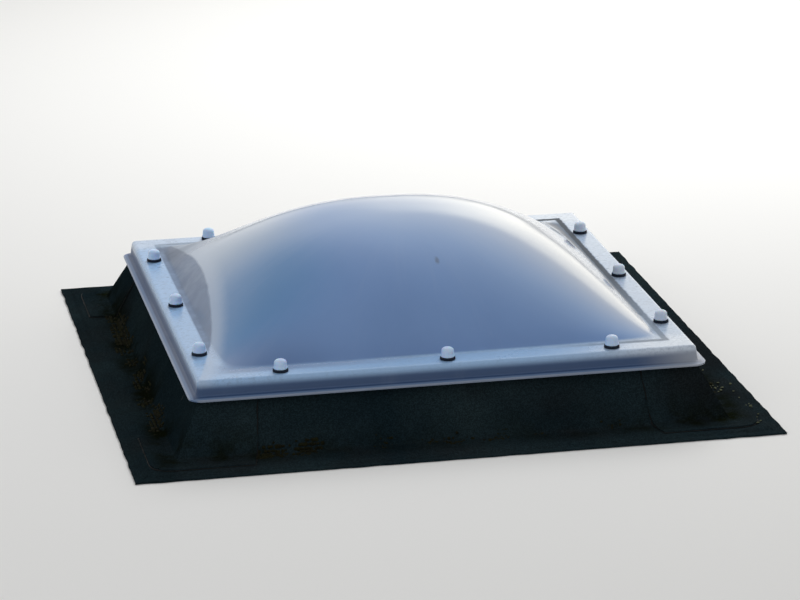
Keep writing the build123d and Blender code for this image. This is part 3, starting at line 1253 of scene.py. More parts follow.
@dataclass
class Dome:
    """The dome sheet: blown dome, flange, rounded edge, leaning skirt and flared lip.

    Attributes:
        foot: Distance of the dome's foot from the middle.
        rise: Height of the dome above the flange.
        squareness: Power that keeps the dome full towards its foot.
        fullness: Power on the whole section of the dome.
        foot_blend: How softly the dome leaves the flange.
        thickness: Thickness of the sheet.
        reach: Distance of the flange's edge from the middle.
        corner_centre: Distance of the corners' centres from the middle.
        edge_radius: Outer radius of the bend between flange and skirt.
        lean: Lean of the skirt in degrees.
        drop: Depth of skirt and lip.
        flare_radius: Radius of the bend between skirt and lip.
        droop: Slope of the lip in degrees.
        overhang: How far the lip stands out past the flange.
        per_side: Mesh points on each side.
        per_corner: Mesh points on each corner.
        flange_top: Height of the flange's upper face.
    """

    foot: float = 0.488
    rise: float = 0.195
    squareness: float = 2.4
    fullness: float = 0.95
    foot_blend: float = 0.008
    thickness: float = 0.004
    reach: float = 0.550
    corner_centre: float = 0.540
    edge_radius: float = 0.009
    lean: float = 9.0
    drop: float = 0.041
    flare_radius: float = 0.006
    droop: float = 14.0
    overhang: float = 0.021
    per_side: int = 60
    per_corner: int = 8
    flange_top: float = field(default_factory=lambda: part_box("sealing_washers")[0].z)

    def share(self, place: float) -> float:
        """Share of the rise at one distance from the middle.

        Args:
            place: The distance, to either side.

        Returns:
            A share from 0 at the foot to nearly 1 in the middle.
        """
        inward = max(0.0, 1 - abs(place) / self.foot)
        body = (1 - (1 - inward) ** self.squareness) ** self.fullness
        return body * (1 - math.exp(-inward * self.foot / self.foot_blend))

    def height(self, x: float, y: float) -> float:
        """Height of the sheet's upper face over a place inside the flange."""
        return self.flange_top + self.rise * self.share(x) * self.share(y)

    def inner_loops(self) -> list[tuple[float, float]]:
        """Reach and corner radius of the mesh loops on dome and flange, from the middle out.

        Returns:
            One pair for each loop.
        """
        foot_band, past_foot, fine, coarse, flange_steps = 0.045, 0.002, 18, 34, 4
        middle_rounding, foot_rounding, flange_rounding = 0.42, 0.02, 0.001
        reaches = [(self.foot - foot_band) * math.sin(math.pi / 2 * (i + 1) / coarse) for i in range(coarse)]
        reaches += [self.foot - foot_band + (foot_band + past_foot) * (i + 1) / fine for i in range(fine)]
        loops = []
        for reach in reaches:
            full = middle_rounding * reach * (1 - (reach / self.foot) ** 6)
            loops.append((reach, full + min(foot_rounding, 0.5 * reach)))
        for i in range(1, flange_steps + 1):
            share = i / flange_steps
            loops.append((reaches[-1] + (self.corner_centre - reaches[-1]) * share,
                          foot_rounding + (flange_rounding - foot_rounding) * share))
        return loops

    def edge(self) -> Pen:
        """Middle line of the sheet from the flange's edge to the end of the lip.

        Returns:
            The pen that drew it.
        """
        half = self.thickness / 2
        bend = self.edge_radius - half
        turn = 90 - self.lean
        lean, droop = math.radians(self.lean), math.radians(self.droop)
        start = self.reach - half - bend * math.cos(lean)
        fall = self.drop - half - bend * (1 - math.sin(lean)) - half * math.cos(droop)
        fall -= self.flare_radius * (math.cos(droop) - math.sin(lean))
        run = self.overhang + half - half * math.sin(droop)
        run -= self.flare_radius * (math.cos(lean) - math.sin(droop))
        lip = (run * math.cos(lean) - fall * math.sin(lean)) / math.cos(lean + droop)
        skirt = (fall - lip * math.sin(droop)) / math.cos(lean)
        pen = Pen(start, self.flange_top - half, 0)
        pen.turn(bend, -turn, 7)
        pen.forward(skirt, 5)
        pen.turn(self.flare_radius, turn - self.droop, 5)
        pen.forward(lip, 3)
        return pen

    def build(self, material: Material) -> Piece:
        """Makes the whole sheet as one closed mesh.

        Args:
            material: The opal finish.

        Returns:
            The sheet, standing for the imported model's own.
        """
        inner, pen, half = self.inner_loops(), self.edge(), self.thickness / 2
        polish, end_steps = 0.0008, 6
        points: list[tuple[float, float, float]] = []

        def add_loop(reach: float, rounding: float, level: Callable[[float, float], float]) -> None:
            """Adds one loop of points at the level that a function gives."""
            for x, y in square_loop(reach, rounding, self.per_side, self.per_corner):
                points.append((x, y, level(x, y)))

        def add_line(line: Iterable[Vector]) -> None:
            """Adds one loop for each point of a section line."""
            for place in line:
                add_loop(place.x, place.x - self.corner_centre, lambda x, y, up=place.y: up)

        for reach, rounding in inner:
            add_loop(reach, rounding, self.height)
        add_line(pen.side(half))
        end, heading = pen.stops[-1]
        ahead = Vector((math.cos(heading), math.sin(heading)))
        across = Vector((-ahead.y, ahead.x))
        angles = [math.pi * i / end_steps for i in range(1, end_steps)]
        add_line(end + across * half * math.cos(a) + ahead * polish * (math.sin(a) - 1) for a in angles)
        add_line(reversed(pen.side(-half)))
        for reach, rounding in reversed(inner):
            add_loop(reach, rounding, lambda x, y: self.height(x, y) - self.thickness)
        around = 4 * (self.per_side + self.per_corner)
        rings = len(points) // around
        faces = [face[::-1] for face in tube_faces(rings, around)]
        crown = self.height(0, 0)
        for first, level, turn in ((0, crown, 1), ((rings - 1) * around, crown - self.thickness, -1)):
            points.append((0, 0, level))
            middle = len(points) - 1
            faces += [(first + k, first + (k + 1) % around, middle)[::turn] for k in range(around)]
        piece = new_piece("dome_sheet", points, faces, material, 50.0)
        stand_for(piece, Slot.OPAL, "outer_dome")
        return piece


@dataclass
class Fasteners:
    """Caps and sealing washers at the screws.

    Attributes:
        reach: Distance of the screw rows from the middle.
        pitch: Distance between the screws of a row.
        count: Screws in each row.
        crown: Height of a cap's rounded top.
        segments: Mesh points round each piece.
    """

    reach: float = 0.519
    pitch: float = 0.366
    count: int = 3
    crown: float = 0.0085
    segments: int = 40

    def places(self) -> list[tuple[float, float]]:
        """Places of all the screws in plan.

        Returns:
            X and Y of each screw, side by side.
        """
        row = [self.pitch * (i - (self.count - 1) / 2) for i in range(self.count)]
        spots = [(self.reach, along) for along in row]
        for _ in range(3):
            spots += [(-y, x) for x, y in spots[-self.count:]]
        return spots

    def at_screws(self, name: str, profile: Path, material: Material, slot: Slot) -> Piece:
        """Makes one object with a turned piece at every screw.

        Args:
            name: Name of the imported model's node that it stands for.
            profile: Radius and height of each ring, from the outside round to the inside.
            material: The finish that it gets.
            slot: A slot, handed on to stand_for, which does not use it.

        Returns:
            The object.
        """
        faces = tube_faces(len(profile), self.segments, closed=True)
        turns = [2 * math.pi * k / self.segments for k in range(self.segments)]
        bits = Bits()
        for x, y in self.places():
            bits.add([(x + radius * math.cos(turn), y + radius * math.sin(turn), up)
                      for radius, up in profile for turn in turns], faces)
        return bits.piece(f"dressed_{name}", material, 35.0, slot, name)

    def build_caps(self, material: Material) -> Piece:
        """Makes the hollow caps with their rounded tops.

        Args:
            material: The plastic finish.

        Returns:
            The caps, as one object.
        """
        low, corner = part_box("screw_caps")[0].z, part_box("screw_caps")[1]
        high, radius = corner.z, corner.x - self.reach
        wall, ease, neck, tip, steps = 0.002, 0.0007, 0.0013, 0.0006, 9
        shoulder = high - self.crown
        profile = [(radius - ease, low), (radius, low + ease), (radius, low + 0.0035),
                   (radius - 0.0009, low + 0.0045), (radius - neck, shoulder)]
        for i in range(1, steps):
            angle = math.pi / 2 * i / steps
            across = (radius - neck) * math.cos(angle) ** 0.8
            profile.append((across, shoulder + self.crown * math.sin(angle)))
        profile += [(tip, high), (tip, high - wall), (radius * 0.55, high - wall - 0.0012),
                    (radius - wall - neck, shoulder - 0.001), (radius - wall, low)]
        return self.at_screws("screw_caps", profile, material, Slot.CAP)

    def build_washers(self, material: Material) -> Piece:
        """Makes the sealing washers with their eased edges.

        Args:
            material: The rubber finish.

        Returns:
            The washers, as one object.
        """
        low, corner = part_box("sealing_washers")[0].z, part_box("sealing_washers")[1]
        high, radius = corner.z, corner.x - self.reach
        bore, ease, draft = 0.0033, 0.0008, 0.0004
        profile = [(radius - 0.0006, low), (radius, low + ease), (radius, (low + high) / 2),
                   (radius - draft, high - ease), (radius - ease - draft, high), (bore, high), (bore, low)]
        return self.at_screws("sealing_washers", profile, material, Slot.WASHER)


@dataclass
class KerbWall:
    """The line of the kerb's outer face, which the felt follows.

    Attributes:
        reach: Distance of the upright collar from the middle.
        height: Height of the kerb's rim.
        knee: Height where the wall starts to spread.
        spread: How far the wall's foot stands out past the collar.
        flange: Width of the base flange.
        laminate: Thickness of the kerb's skin.
    """

    reach: float = 0.539
    height: float = 0.150
    knee: float = 0.125
    spread: float = 0.066
    flange: float = 0.070
    laminate: float = 0.004

    @property
    def slope(self) -> float:
        """Lean of the spreading wall from upright, in radians."""
        return math.atan2(self.spread, self.knee)

    @property
    def base_reach(self) -> float:
        """Distance of the base flange's edge from the middle."""
        return self.reach + self.spread + self.flange

    def line(self, offset: float, top: float, bottom: float) -> Path:
        """Top, knee and foot of the wall, moved out by an offset.

        Args:
            offset: How far the line lies outside the wall.
            top: Height of its upper end.
            bottom: Height of its lower end.

        Returns:
            The line's three points, as reach and height.
        """
        foot = self.reach + offset / math.cos(self.slope) + (self.knee - bottom) * math.tan(self.slope)
        knee = self.knee + offset * math.tan(self.slope / 2)
        return [(self.reach + offset, top), (self.reach + offset, knee), (foot, bottom)]


@dataclass
class FeltStrips:
    """Felt strips, one to a side, dressed up the kerb and out over its base flange.

    Attributes:
        wall: The kerb's outer face.
        thickness: Thickness of the felt.
        gap: Space between the felt and what it lies on.
        top_gap: How far the strips end below the rim.
        bend: Middle radius of the bends at knee and foot.
        step_bend: Middle radius of the bends where the felt steps down to the deck.
        step_run: Length of that step.
        lap: How far the felt goes on past the base flange.
        spacing: Distance between mesh points.
        ripple: Depth of the unevenness of the surface.
    """

    wall: KerbWall
    thickness: float = 0.0045
    gap: float = 0.0002
    top_gap: float = 0.006
    bend: float = 0.012
    step_bend: float = 0.004
    step_run: float = 0.009
    lap: float = 0.034
    spacing: float = 0.009
    ripple: float = 0.0011

    @property
    def apron_reach(self) -> float:
        """Distance of the felt's outer edge from the middle."""
        return self.wall.base_reach + self.lap

    def section(self) -> Path:
        """Middle line of the felt, from its top edge to its outer edge.

        Returns:
            Its points, as reach and height.
        """
        wall, middle = self.wall, self.gap + self.thickness / 2
        level = wall.laminate + middle
        step = wall.base_reach + wall.laminate
        points = wall.line(middle, wall.height - self.top_gap, level)
        points += [(step, level), (step + self.step_run, self.thickness / 2)]
        points.append((self.apron_reach, self.thickness / 2))
        radii = [self.bend, self.bend, self.step_bend, self.step_bend]
        return evenly(rounded_line(points, radii), self.spacing)

    def outer_line(self) -> Path:
        """Outer face of the felt, as reach and height.

        Returns:
            Its points, from the top edge to the outer edge.
        """
        line = self.section()
        half = self.thickness / 2
        return [(x + n.x * half, z + n.y * half) for (x, z), n in zip(line, line_normals(line))]

    def build(self, material: Material) -> list[Piece]:
        """Makes the four strips.

        Args:
            material: The felt finish.

        Returns:
            The strips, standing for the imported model's own.
        """
        pieces = []
        for side in Side:
            name = f"felt_{side.name.lower()}"
            pieces.append(self.strip(side).piece(f"dressed_{name}", material, 45.0, Slot.FELT, name))
        return pieces

    def strip(self, side: Side) -> Bits:
        """One strip, uneven on its outer face.

        Args:
            side: Which side of the kerb it lies on.

        Returns:
            Its points and faces.
        """
        line = self.section()
        normals = line_normals(line)
        half, along_count = self.thickness / 2, 150
        ragged_top, ragged_foot, broad, narrow = 0.002, 0.0025, 14, 45
        loop: list[tuple[int, float]] = [(i, half) for i in range(len(line))]
        loop += [(i, -half) for i in reversed(range(len(line)))]
        points = []
        for k in range(along_count + 1):
            share = 2 * k / along_count - 1
            for i, offset in loop:
                (x, z), normal, lift = line[i], normals[i], offset
                mitre = (x - self.gap) * share
                spot = Vector((x, mitre, z)) + Vector((side.value, 0, 0))
                if offset > 0 and 0 < i < len(line) - 1:
                    wave = noise.noise(spot * broad) * 0.6 + noise.noise(spot * narrow) * 0.4
                    lift -= self.ripple * (0.5 + wave) * 0.9
                place = Vector((x + normal.x * lift, mitre, z + normal.y * lift))
                if i >= len(line) - 1:
                    place.x -= ragged_foot * (0.5 + noise.noise(spot * 24))
                if i == 0:
                    place.z -= ragged_top * (0.5 + noise.noise(spot * 30))
                points.append(side.turn @ place)
        bits = Bits()
        bits.add(points, [face[::-1] for face in rod_faces(along_count + 1, len(loop))])
        return bits


@dataclass
class FeltCorners:
    """Felt patches folded round the corners over the ends of the strips.

    Attributes:
        strips: The strips under the patches.
        thickness: Thickness of a patch.
        span: Length of a patch along the collar, from the corner.
        taper: How much longer it is at the corner's foot.
        margin: How far a patch ends inside the base flange's edge.
        rounding: Radius of its outer corner.
    """

    strips: FeltStrips
    thickness: float = 0.0035
    span: float = 0.118
    taper: float = 0.026
    margin: float = 0.008
    rounding: float = 0.045

    @property
    def outer(self) -> float:
        """Distance of a patch's outer edge from the middle."""
        return self.strips.wall.base_reach - self.margin

    @property
    def inner(self) -> float:
        """Distance of a patch's end on the collar from the middle, measured along the kerb."""
        return self.strips.wall.reach - self.span

    def section(self) -> Path:
        """Middle line of a patch, from the knee to its outer edge.

        Returns:
            Its points, as reach and height.
        """
        strips, wall = self.strips, self.strips.wall
        middle = 2 * strips.gap + strips.thickness + self.thickness / 2
        level = wall.laminate + middle
        radius = strips.bend - strips.gap - (strips.thickness + self.thickness) / 2
        points = wall.line(middle, wall.height, level)[1:] + [(self.outer, level)]
        return evenly(rounded_line(points, [radius], 6), 0.006)

    def end(self, reach: float) -> float:
        """How near to the kerb's middle a patch comes at one distance out."""
        share = (reach - self.strips.wall.reach) / (self.outer - self.strips.wall.reach)
        return self.inner + self.taper * share

    def fold(self, reach: float) -> float:
        """How far a wing goes towards the other one at one distance out.

        Args:
            reach: The distance from the kerb's middle.

        Returns:
            Place along the kerb of the wing's edge.
        """
        centre = self.outer - self.rounding
        if reach <= centre:
            return reach
        return min(reach, centre + math.sqrt(max(0.0, self.rounding**2 - (reach - centre) ** 2)))

    def wing(self, seed: float, lift: float) -> list[list[Vector]]:
        """Rows of points on one face of the wing along the +X side.

        Args:
            seed: Sets the ragged edge apart from the other corners'.
            lift: Offset from the middle line, outwards.

        Returns:
            One row for each point of the section, from the fold to the wing's end.
        """
        line = self.section()
        rows, count, ragged_end, deepest_sag = [], 16, 0.004, 0.0007
        for (x, z), normal in zip(line, line_normals(line)):
            ragged = ragged_end * noise.noise(Vector((x * 40, seed, z * 40)))
            start, end = self.fold(x), self.end(x) + ragged
            row = []
            for k in range(count + 1):
                y = start + (end - start) * k / count
                wave = 0.5 + noise.noise(Vector((x, y, z + seed)) * 30)
                sag = deepest_sag * wave if lift > 0 else 0.0
                row.append(Vector((x + normal.x * (lift - sag), y, z + normal.y * (lift - sag))))
            rows.append(row)
        return rows

    def build(self, material: Material) -> list[Piece]:
        """Makes the four patches.

        Args:
            material: The felt finish.

        Returns:
            The patches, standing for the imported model's own.
        """
        pieces = []
        for corner in Corner:
            name = f"felt_corner_{corner.name.lower()}"
            pieces.append(self.patch(corner).piece(f"dressed_{name}", material, 45.0, Slot.FELT, name))
        return pieces

    def patch(self, corner: Corner) -> Bits:
        """One patch with its two wings.

        Args:
            corner: Which corner of the kerb it lies on.

        Returns:
            Its points and faces.
        """
        bits, half, other_wing = Bits(), self.thickness / 2, 7.0
        for mirrored in (False, True):
            seed = corner.value + (other_wing if mirrored else 0.0)
            faces_of_wing = zip(self.wing(seed, half), self.wing(seed, -half))
            rows = [above + below[::-1] for above, below in faces_of_wing]
            faces = rod_faces(len(rows), len(rows[0]))
            if mirrored:
                rows = [across_fold(row) for row in rows]
            else:
                faces = [face[::-1] for face in faces]
            bits.add([corner.turn @ point for row in rows for point in row], faces)
        return bits

    def outline(self) -> list[Vector]:
        """Line on the strips' face round the edge of a patch, from wing to wing.

        Returns:
            The line's points.
        """
        line = [(x, z - self.thickness / 2) for x, z in self.section()]
        wing = [Vector((x, self.end(x), z)) for x, z in line]
        level, centre = line[-1][1], self.outer - self.rounding
        along = [Vector((self.outer, y, level)) for y in (self.end(self.outer) + 0.02, centre - 0.01)]
        bend, steps = [], 5
        for i in range(steps + 1):
            angle = math.pi / 4 * i / steps
            bend.append(Vector((centre + self.rounding * math.cos(angle),
                                centre + self.rounding * math.sin(angle), level)))
        half = wing + along + bend
        return half + across_fold(reversed(half[:-1]))


@dataclass
class BitumenBeads:
    """Thin beads of bitumen squeezed out along the edges of the corner patches.

    Attributes:
        corners: The patches whose edges they follow.
        radius: Middle radius of a bead.
        spacing: Distance between mesh rings.
        segments: Points in each ring.
    """

    corners: FeltCorners
    radius: float = 0.0021
    spacing: float = 0.005
    segments: int = 7

    def build(self, material: Material) -> Piece:
        """Makes all the beads as one piece.

        Args:
            material: The bitumen finish.

        Returns:
            The beads.
        """
        bits = Bits()
        for corner in Corner:
            path = self.dense(self.corners.outline())
            points = [corner.turn @ point for point in self.bead(path, corner.value)]
            bits.add(points, rod_faces(len(path), self.segments))
        return bits.piece("bitumen_beads", material, 80.0, Slot.FELT)

    def bead(self, path: list[Vector], seed: float) -> list[Vector]:
        """Points round one bead, which swells and thins along its path.

        Args:
            path: The bead's middle line.
            seed: Sets its swelling apart from the other corners'.

        Returns:
            The points, ring by ring.
        """
        points, last, up = [], len(path) - 1, Vector((0, 0, 1))
        for i, place in enumerate(path):
            ahead = (path[min(i + 1, last)] - path[max(i - 1, 0)]).normalized()
            outward = up - ahead * ahead.z
            outward = outward.normalized() if outward.length > 0.2 else Vector((1, 1, 0)).normalized()
            across = ahead.cross(outward)
            swell = 0.75 + 0.6 * noise.noise(place * 90 + Vector((seed, 0, 0)))
            radius = self.radius * swell * min(1.0, (i + 0.2) / 3, (last - i + 0.2) / 3)
            for k in range(self.segments):
                angle = 2 * math.pi * k / self.segments
                spoke = outward * math.sin(angle) * 0.75 + across * math.cos(angle) * 1.3
                points.append(place + spoke * radius)
        return points

    def dense(self, path: list[Vector]) -> list[Vector]:
        """The path with points added at the mesh spacing.

        Args:
            path: The path.

        Returns:
            The path with the points added.
        """
        result = [path[0]]
        for first, second in zip(path, path[1:]):
            count = max(1, math.ceil((second - first).length / self.spacing))
            result += [first.lerp(second, (i + 1) / count) for i in range(count)]
        return result


@dataclass(frozen=True)
class MossPatch:
    """A stretch of the kerb's foot where moss grows.

    Attributes:
        side: Which side of the kerb it is on.
        start: Where it starts along that side, from -1 to 1 of the foot's length.
        end: Where it ends.
        clumps: How many clumps grow there.
        tufts: How many tufts the largest clump has.
        size: Radius of the largest tuft.
        spread: How far the clumps stray from the foot.
    """

    side: Side
    start: float
    end: float
    clumps: int
    tufts: int
    size: float
    spread: float


@dataclass
class Growth:
    """Moss tufts and pale flakes of lichen and grit at the kerb's foot.

    Attributes:
        strips: The felt that they lie on.
        patches: Where the moss grows.
        flakes: How many flakes lie by the near right corner.
        longest: How far along a side growth goes, from its middle to its end at 1.
    """

    strips: FeltStrips
    patches: Sequence[MossPatch]
    flakes: int = 110
    longest: float = 0.985

    def foot_index(self, line: Path) -> int:
        """Number of the section point where the wall meets the base flange."""
        level = min(z for x, z in line if x < self.strips.wall.base_reach - 0.01)
        return next(i for i, (x, z) in enumerate(line) if z < level + 0.003)

    def surface(self, side: Side, share: float, out: float) -> tuple[Vector, Vector]:
        """Place and normal on the felt.

        Args:
            side: Which side of the kerb.
            share: Place along the side, from -1 to 1.
            out: Distance from the foot, outwards along the felt.

        Returns:
            The place and the unit normal.
        """
        line = self.strips.outer_line()
        normals = line_normals(line)
        i = self.foot_index(line)
        step = 1 if out > 0 else -1
        left = abs(out)
        while 0 < i + step < len(line) - 1 and left > 0:
            left -= math.dist(line[i], line[i + step])
            i += step
        (x, z), normal = line[i], normals[i]
        turn = side.turn
        return turn @ Vector((x, x * share, z)), turn @ Vector((normal.x, 0, normal.y))

    def tuft(self, centre: Vector, up: Vector, radius: float, seed: float) -> tuple[list, list]:
        """Points and faces of one cushion-shaped tuft, its height set by its seed.

        Args:
            centre: Middle of its foot.
            up: Normal of the felt under it.
            radius: Its radius.
            seed: Sets its shape and height apart from the others'.

        Returns:
            The points and the faces.
        """
        tall = radius * (0.45 + 0.5 * (seed % 1.0))
        around, rows, sunk = 9, 3, 0.0008
        across = up.orthogonal().normalized()
        other = up.cross(across)
        points = []
        for row in range(rows):
            angle = math.pi / 2 * row / rows
            for k in range(around):
                turn = 2 * math.pi * k / around
                spoke = across * math.cos(turn) + other * math.sin(turn)
                place = spoke * math.cos(angle) * radius + up * math.sin(angle) * tall
                rough = 1 + 0.5 * noise.noise(place * 420 + Vector((seed, seed, 0)))
                points.append(centre + place * rough - up * sunk)
        points.append(centre + up * tall * 0.8)
        faces = tube_faces(rows, around)
        last = (rows - 1) * around
        faces += [(last + k, last + (k + 1) % around, len(points) - 1) for k in range(around)]
        faces.append(tuple(range(around))[::-1])
        return points, faces

    def build_moss(self, material: Material) -> Piece:
        """Makes all the tufts as one piece.

        Args:
            material: The moss finish.

        Returns:
            The tufts.
        """
        dice, bits = random.Random(11), Bits()
        for patch in self.patches:
            for _ in range(patch.clumps):
                middle, away = dice.uniform(patch.start, patch.end), dice.gauss(0.004, patch.spread)
                vigour = dice.uniform(0.35, 1.0)
                for _ in range(max(3, round(patch.tufts * vigour))):
                    share = middle + dice.gauss(0, 0.028 * vigour)
                    out = away + dice.gauss(0, 0.008 * vigour)
                    share = max(-self.longest, min(self.longest, share))
                    place, up = self.surface(patch.side, share, out)
                    radius = patch.size * dice.uniform(0.35, 1.0) * vigour ** 0.5
                    bits.add(*self.tuft(place, up, radius, dice.uniform(0, 50)))
        return bits.piece("moss_tufts", material, 80.0, Slot.FELT)

    def build_flakes(self, material: Material) -> Piece:
        """Makes the pale flakes by the near right corner as one piece.

        Args:
            material: The lichen finish.

        Returns:
            The flakes.
        """
        dice, bits = random.Random(5), Bits()
        for _ in range(self.flakes):
            share = max(-0.98, min(-0.35, dice.gauss(-0.78, 0.14)))
            out = dice.triangular(-0.01, 0.08, 0.03)
            place, up = self.surface(Side.RIGHT, share, out)
            points = self.flake(dice, place, up)
            bits.add(points, rod_faces(2, len(points) // 2))
        return bits.piece("lichen_flakes", material, 30.0, Slot.FELT)

    def flake(self, dice: random.Random, place: Vector, up: Vector) -> list[Vector]:
        """Points of one flat, tilted flake with an uneven edge.

        Args:
            dice: Draws its size, tilt and edge.
            place: Where it lies.
            up: Normal of the felt under it.

        Returns:
            The points of its lower and then of its upper edge.
        """
        corners, off_felt = 9, 0.0012
        across = up.orthogonal().normalized()
        other = up.cross(across)
        size, thick = dice.uniform(0.0018, 0.0058), dice.uniform(0.0006, 0.0016)
        tilt = up + across * dice.uniform(-0.25, 0.25) + other * dice.uniform(-0.25, 0.25)
        tilt.normalize()
        radii = [size * dice.uniform(0.6, 1.2) for _ in range(corners)]
        points = []
        for level, shrink in ((0.0, 1.0), (thick, 0.92)):
            for k, radius in enumerate(radii):
                turn = 2 * math.pi * k / corners
                spoke = across * math.cos(turn) + other * math.sin(turn) * 0.7
                spoke -= up * spoke.dot(tilt) * 0.6
                points.append(place + up * (off_felt + level) + spoke * radius * shrink)
        return points


@dataclass
class HiddenParts:
    """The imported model's own pieces that stay, each with its finish.

    Attributes:
        finishes: The finish of each node.
    """

    finishes: dict[str, Finish]

    def dress(self) -> None:
        """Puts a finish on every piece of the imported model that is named."""
        for node, finish in self.finishes.items():
            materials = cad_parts[node].data.materials
            materials.clear()
            materials.append(finish.build())
            log.info("dressed %s", node)


@dataclass(frozen=True)
class Lamp:
    """One large soft lamp that looks at the part.

    Attributes:
        name: Name of the lamp.
        place: Where its middle is.
        width: Its width.
        height: Its height.
        power: Its power in watts.
        colour: Its colour, linear.
        reflected: True if gloss shows it, with edges that fade out.
    """

    name: str
    place: tuple[float, float, float]
    width: float
    height: float
    power: float
    colour: tuple[float, float, float] = (1.0, 1.0, 1.0)
    reflected: bool = False

    def build(self, aim: Vector) -> None:
        """Makes the lamp, turned to a point.

        Args:
            aim: The point.
        """
        lamp = bpy.data.lights.new(self.name, "AREA")
        lamp.shape = "RECTANGLE" if self.reflected else "ELLIPSE"
        lamp.size, lamp.size_y, lamp.energy, lamp.color = self.width, self.height, self.power, self.colour
        holder = bpy.data.objects.new(self.name, lamp)
        holder.location = self.place
        holder.rotation_euler = (aim - Vector(self.place)).to_track_quat("-Z", "Y").to_euler()
        holder.visible_glossy = self.reflected
        holder.visible_camera = False
        bpy.context.scene.collection.objects.link(holder)
        if self.reflected:
            self.fade_edges(lamp)

    def fade_edges(self, lamp: bpy.types.Light) -> None:
        """Lets the lamp's light fade towards its edges, as a soft box's does.

        Args:
            lamp: The lamp's data.
        """
        lamp.use_nodes = True
        shader = ShaderTree(lamp.node_tree)
        across, upwards, _ = shader.axes(shader.add("ShaderNodeNewGeometry").outputs["Parametric"])
        fades = []
        for place, start in ((across, 0.22), (upwards, 0.30)):
            fades.append(shader.step(shader.off(place, 0.5), 0.5, start))
        emission = lamp.node_tree.nodes["Emission"]
        lamp.node_tree.links.new(shader.times(*fades), emission.inputs["Strength"])


@dataclass
class Studio:
    """Pale floor, soft light and the camera at the photograph's angle.

    Attributes:
        camera_place: Where the photograph was taken from, in the part's frame.
        aim: Point that the camera looks at.
        roll: Roll of the camera, in degrees.
        lens: Focal length for a frame 36 mm wide, longer than the photograph's to fill the frame.
        level: Strength of the even light that falls from all round.
        lamps: The soft lamps.
    """

    camera_place: tuple[float, float, float] = (-1.5296, -7.6564, 2.5605)
    aim: tuple[float, float, float] = (0.0, 0.0, 0.140)
    roll: float = -0.57
    lens: float = 160.0
    level: float = 0.45
    lamps: Sequence[Lamp] = (
        Lamp("key", (1.6, 3.2, 3.6), 3.2, 3.2, 150.0),
        Lamp("fill", (-3.5, -3.0, 3.0), 3.5, 3.5, 24.0),
        Lamp("low_glow", (3.6, 4.8, 1.3), 7.6, 2.6, 66.0, (1.0, 0.93, 0.74), True),
    )

    def build(self) -> None:
        """Makes floor, light and camera."""
        self.build_floor()
        self.build_world()
        self.build_lamps()
        self.build_camera()

    def build_floor(self) -> None:
        """A wide pale floor just below the part."""
        half, low = 30.0, -0.0006
        mesh = bpy.data.meshes.new("floor")
        corners = [(-half, -half, low), (half, -half, low), (half, half, low), (-half, half, low)]
        mesh.from_pydata(corners, [], [(0, 1, 2, 3)])
        material = bpy.data.materials.new("pale_floor")
        material.use_nodes = True
        surface = material.node_tree.nodes["Principled BSDF"]
        surface.inputs["Base Color"].default_value = (0.86, 0.86, 0.85, 1.0)
        surface.inputs["Roughness"].default_value = 0.9
        surface.inputs["Specular IOR Level"].default_value = 0.1
        mesh.materials.append(material)
        floor = bpy.data.objects.new("floor", mesh)
        bpy.context.scene.collection.objects.link(floor)

    def build_world(self) -> None:
        """Even light all round, seen as plain white by camera, gloss and glass."""
        world = bpy.data.worlds.new("studio")
        world.use_nodes = True
        shader = ShaderTree(world.node_tree)
        rays = shader.add("ShaderNodeLightPath").outputs
        seen = shader.most(rays["Is Camera Ray"], rays["Is Glossy Ray"], rays["Is Transmission Ray"])
        strength = shader.math("MULTIPLY_ADD", seen, 1.0 - self.level, self.level)
        background = world.node_tree.nodes["Background"]
        background.inputs["Color"].default_value = (1.0, 1.0, 1.0, 1.0)
        world.node_tree.links.new(strength, background.inputs["Strength"])
        bpy.context.scene.world = world

    def build_lamps(self) -> None:
        """Large soft lamps that look at the part."""
        for lamp in self.lamps:
            lamp.build(Vector(self.aim))

    def build_camera(self) -> None:
        """The camera at the photograph's place, with a longer lens."""
        data = bpy.data.cameras.new("camera")
        data.sensor_width, data.lens = 36.0, self.lens
        camera = bpy.data.objects.new("camera", data)
        camera.location = self.camera_place
        towards = Vector(self.aim) - Vector(self.camera_place)
        turned = towards.to_track_quat("-Z", "Y").to_matrix() @ Matrix.Rotation(
            math.radians(self.roll), 3, "Z")
        camera.rotation_euler = turned.to_euler()
        bpy.context.scene.collection.objects.link(camera)
        bpy.context.scene.camera = camera
        bpy.context.scene.view_settings.view_transform = "Standard"


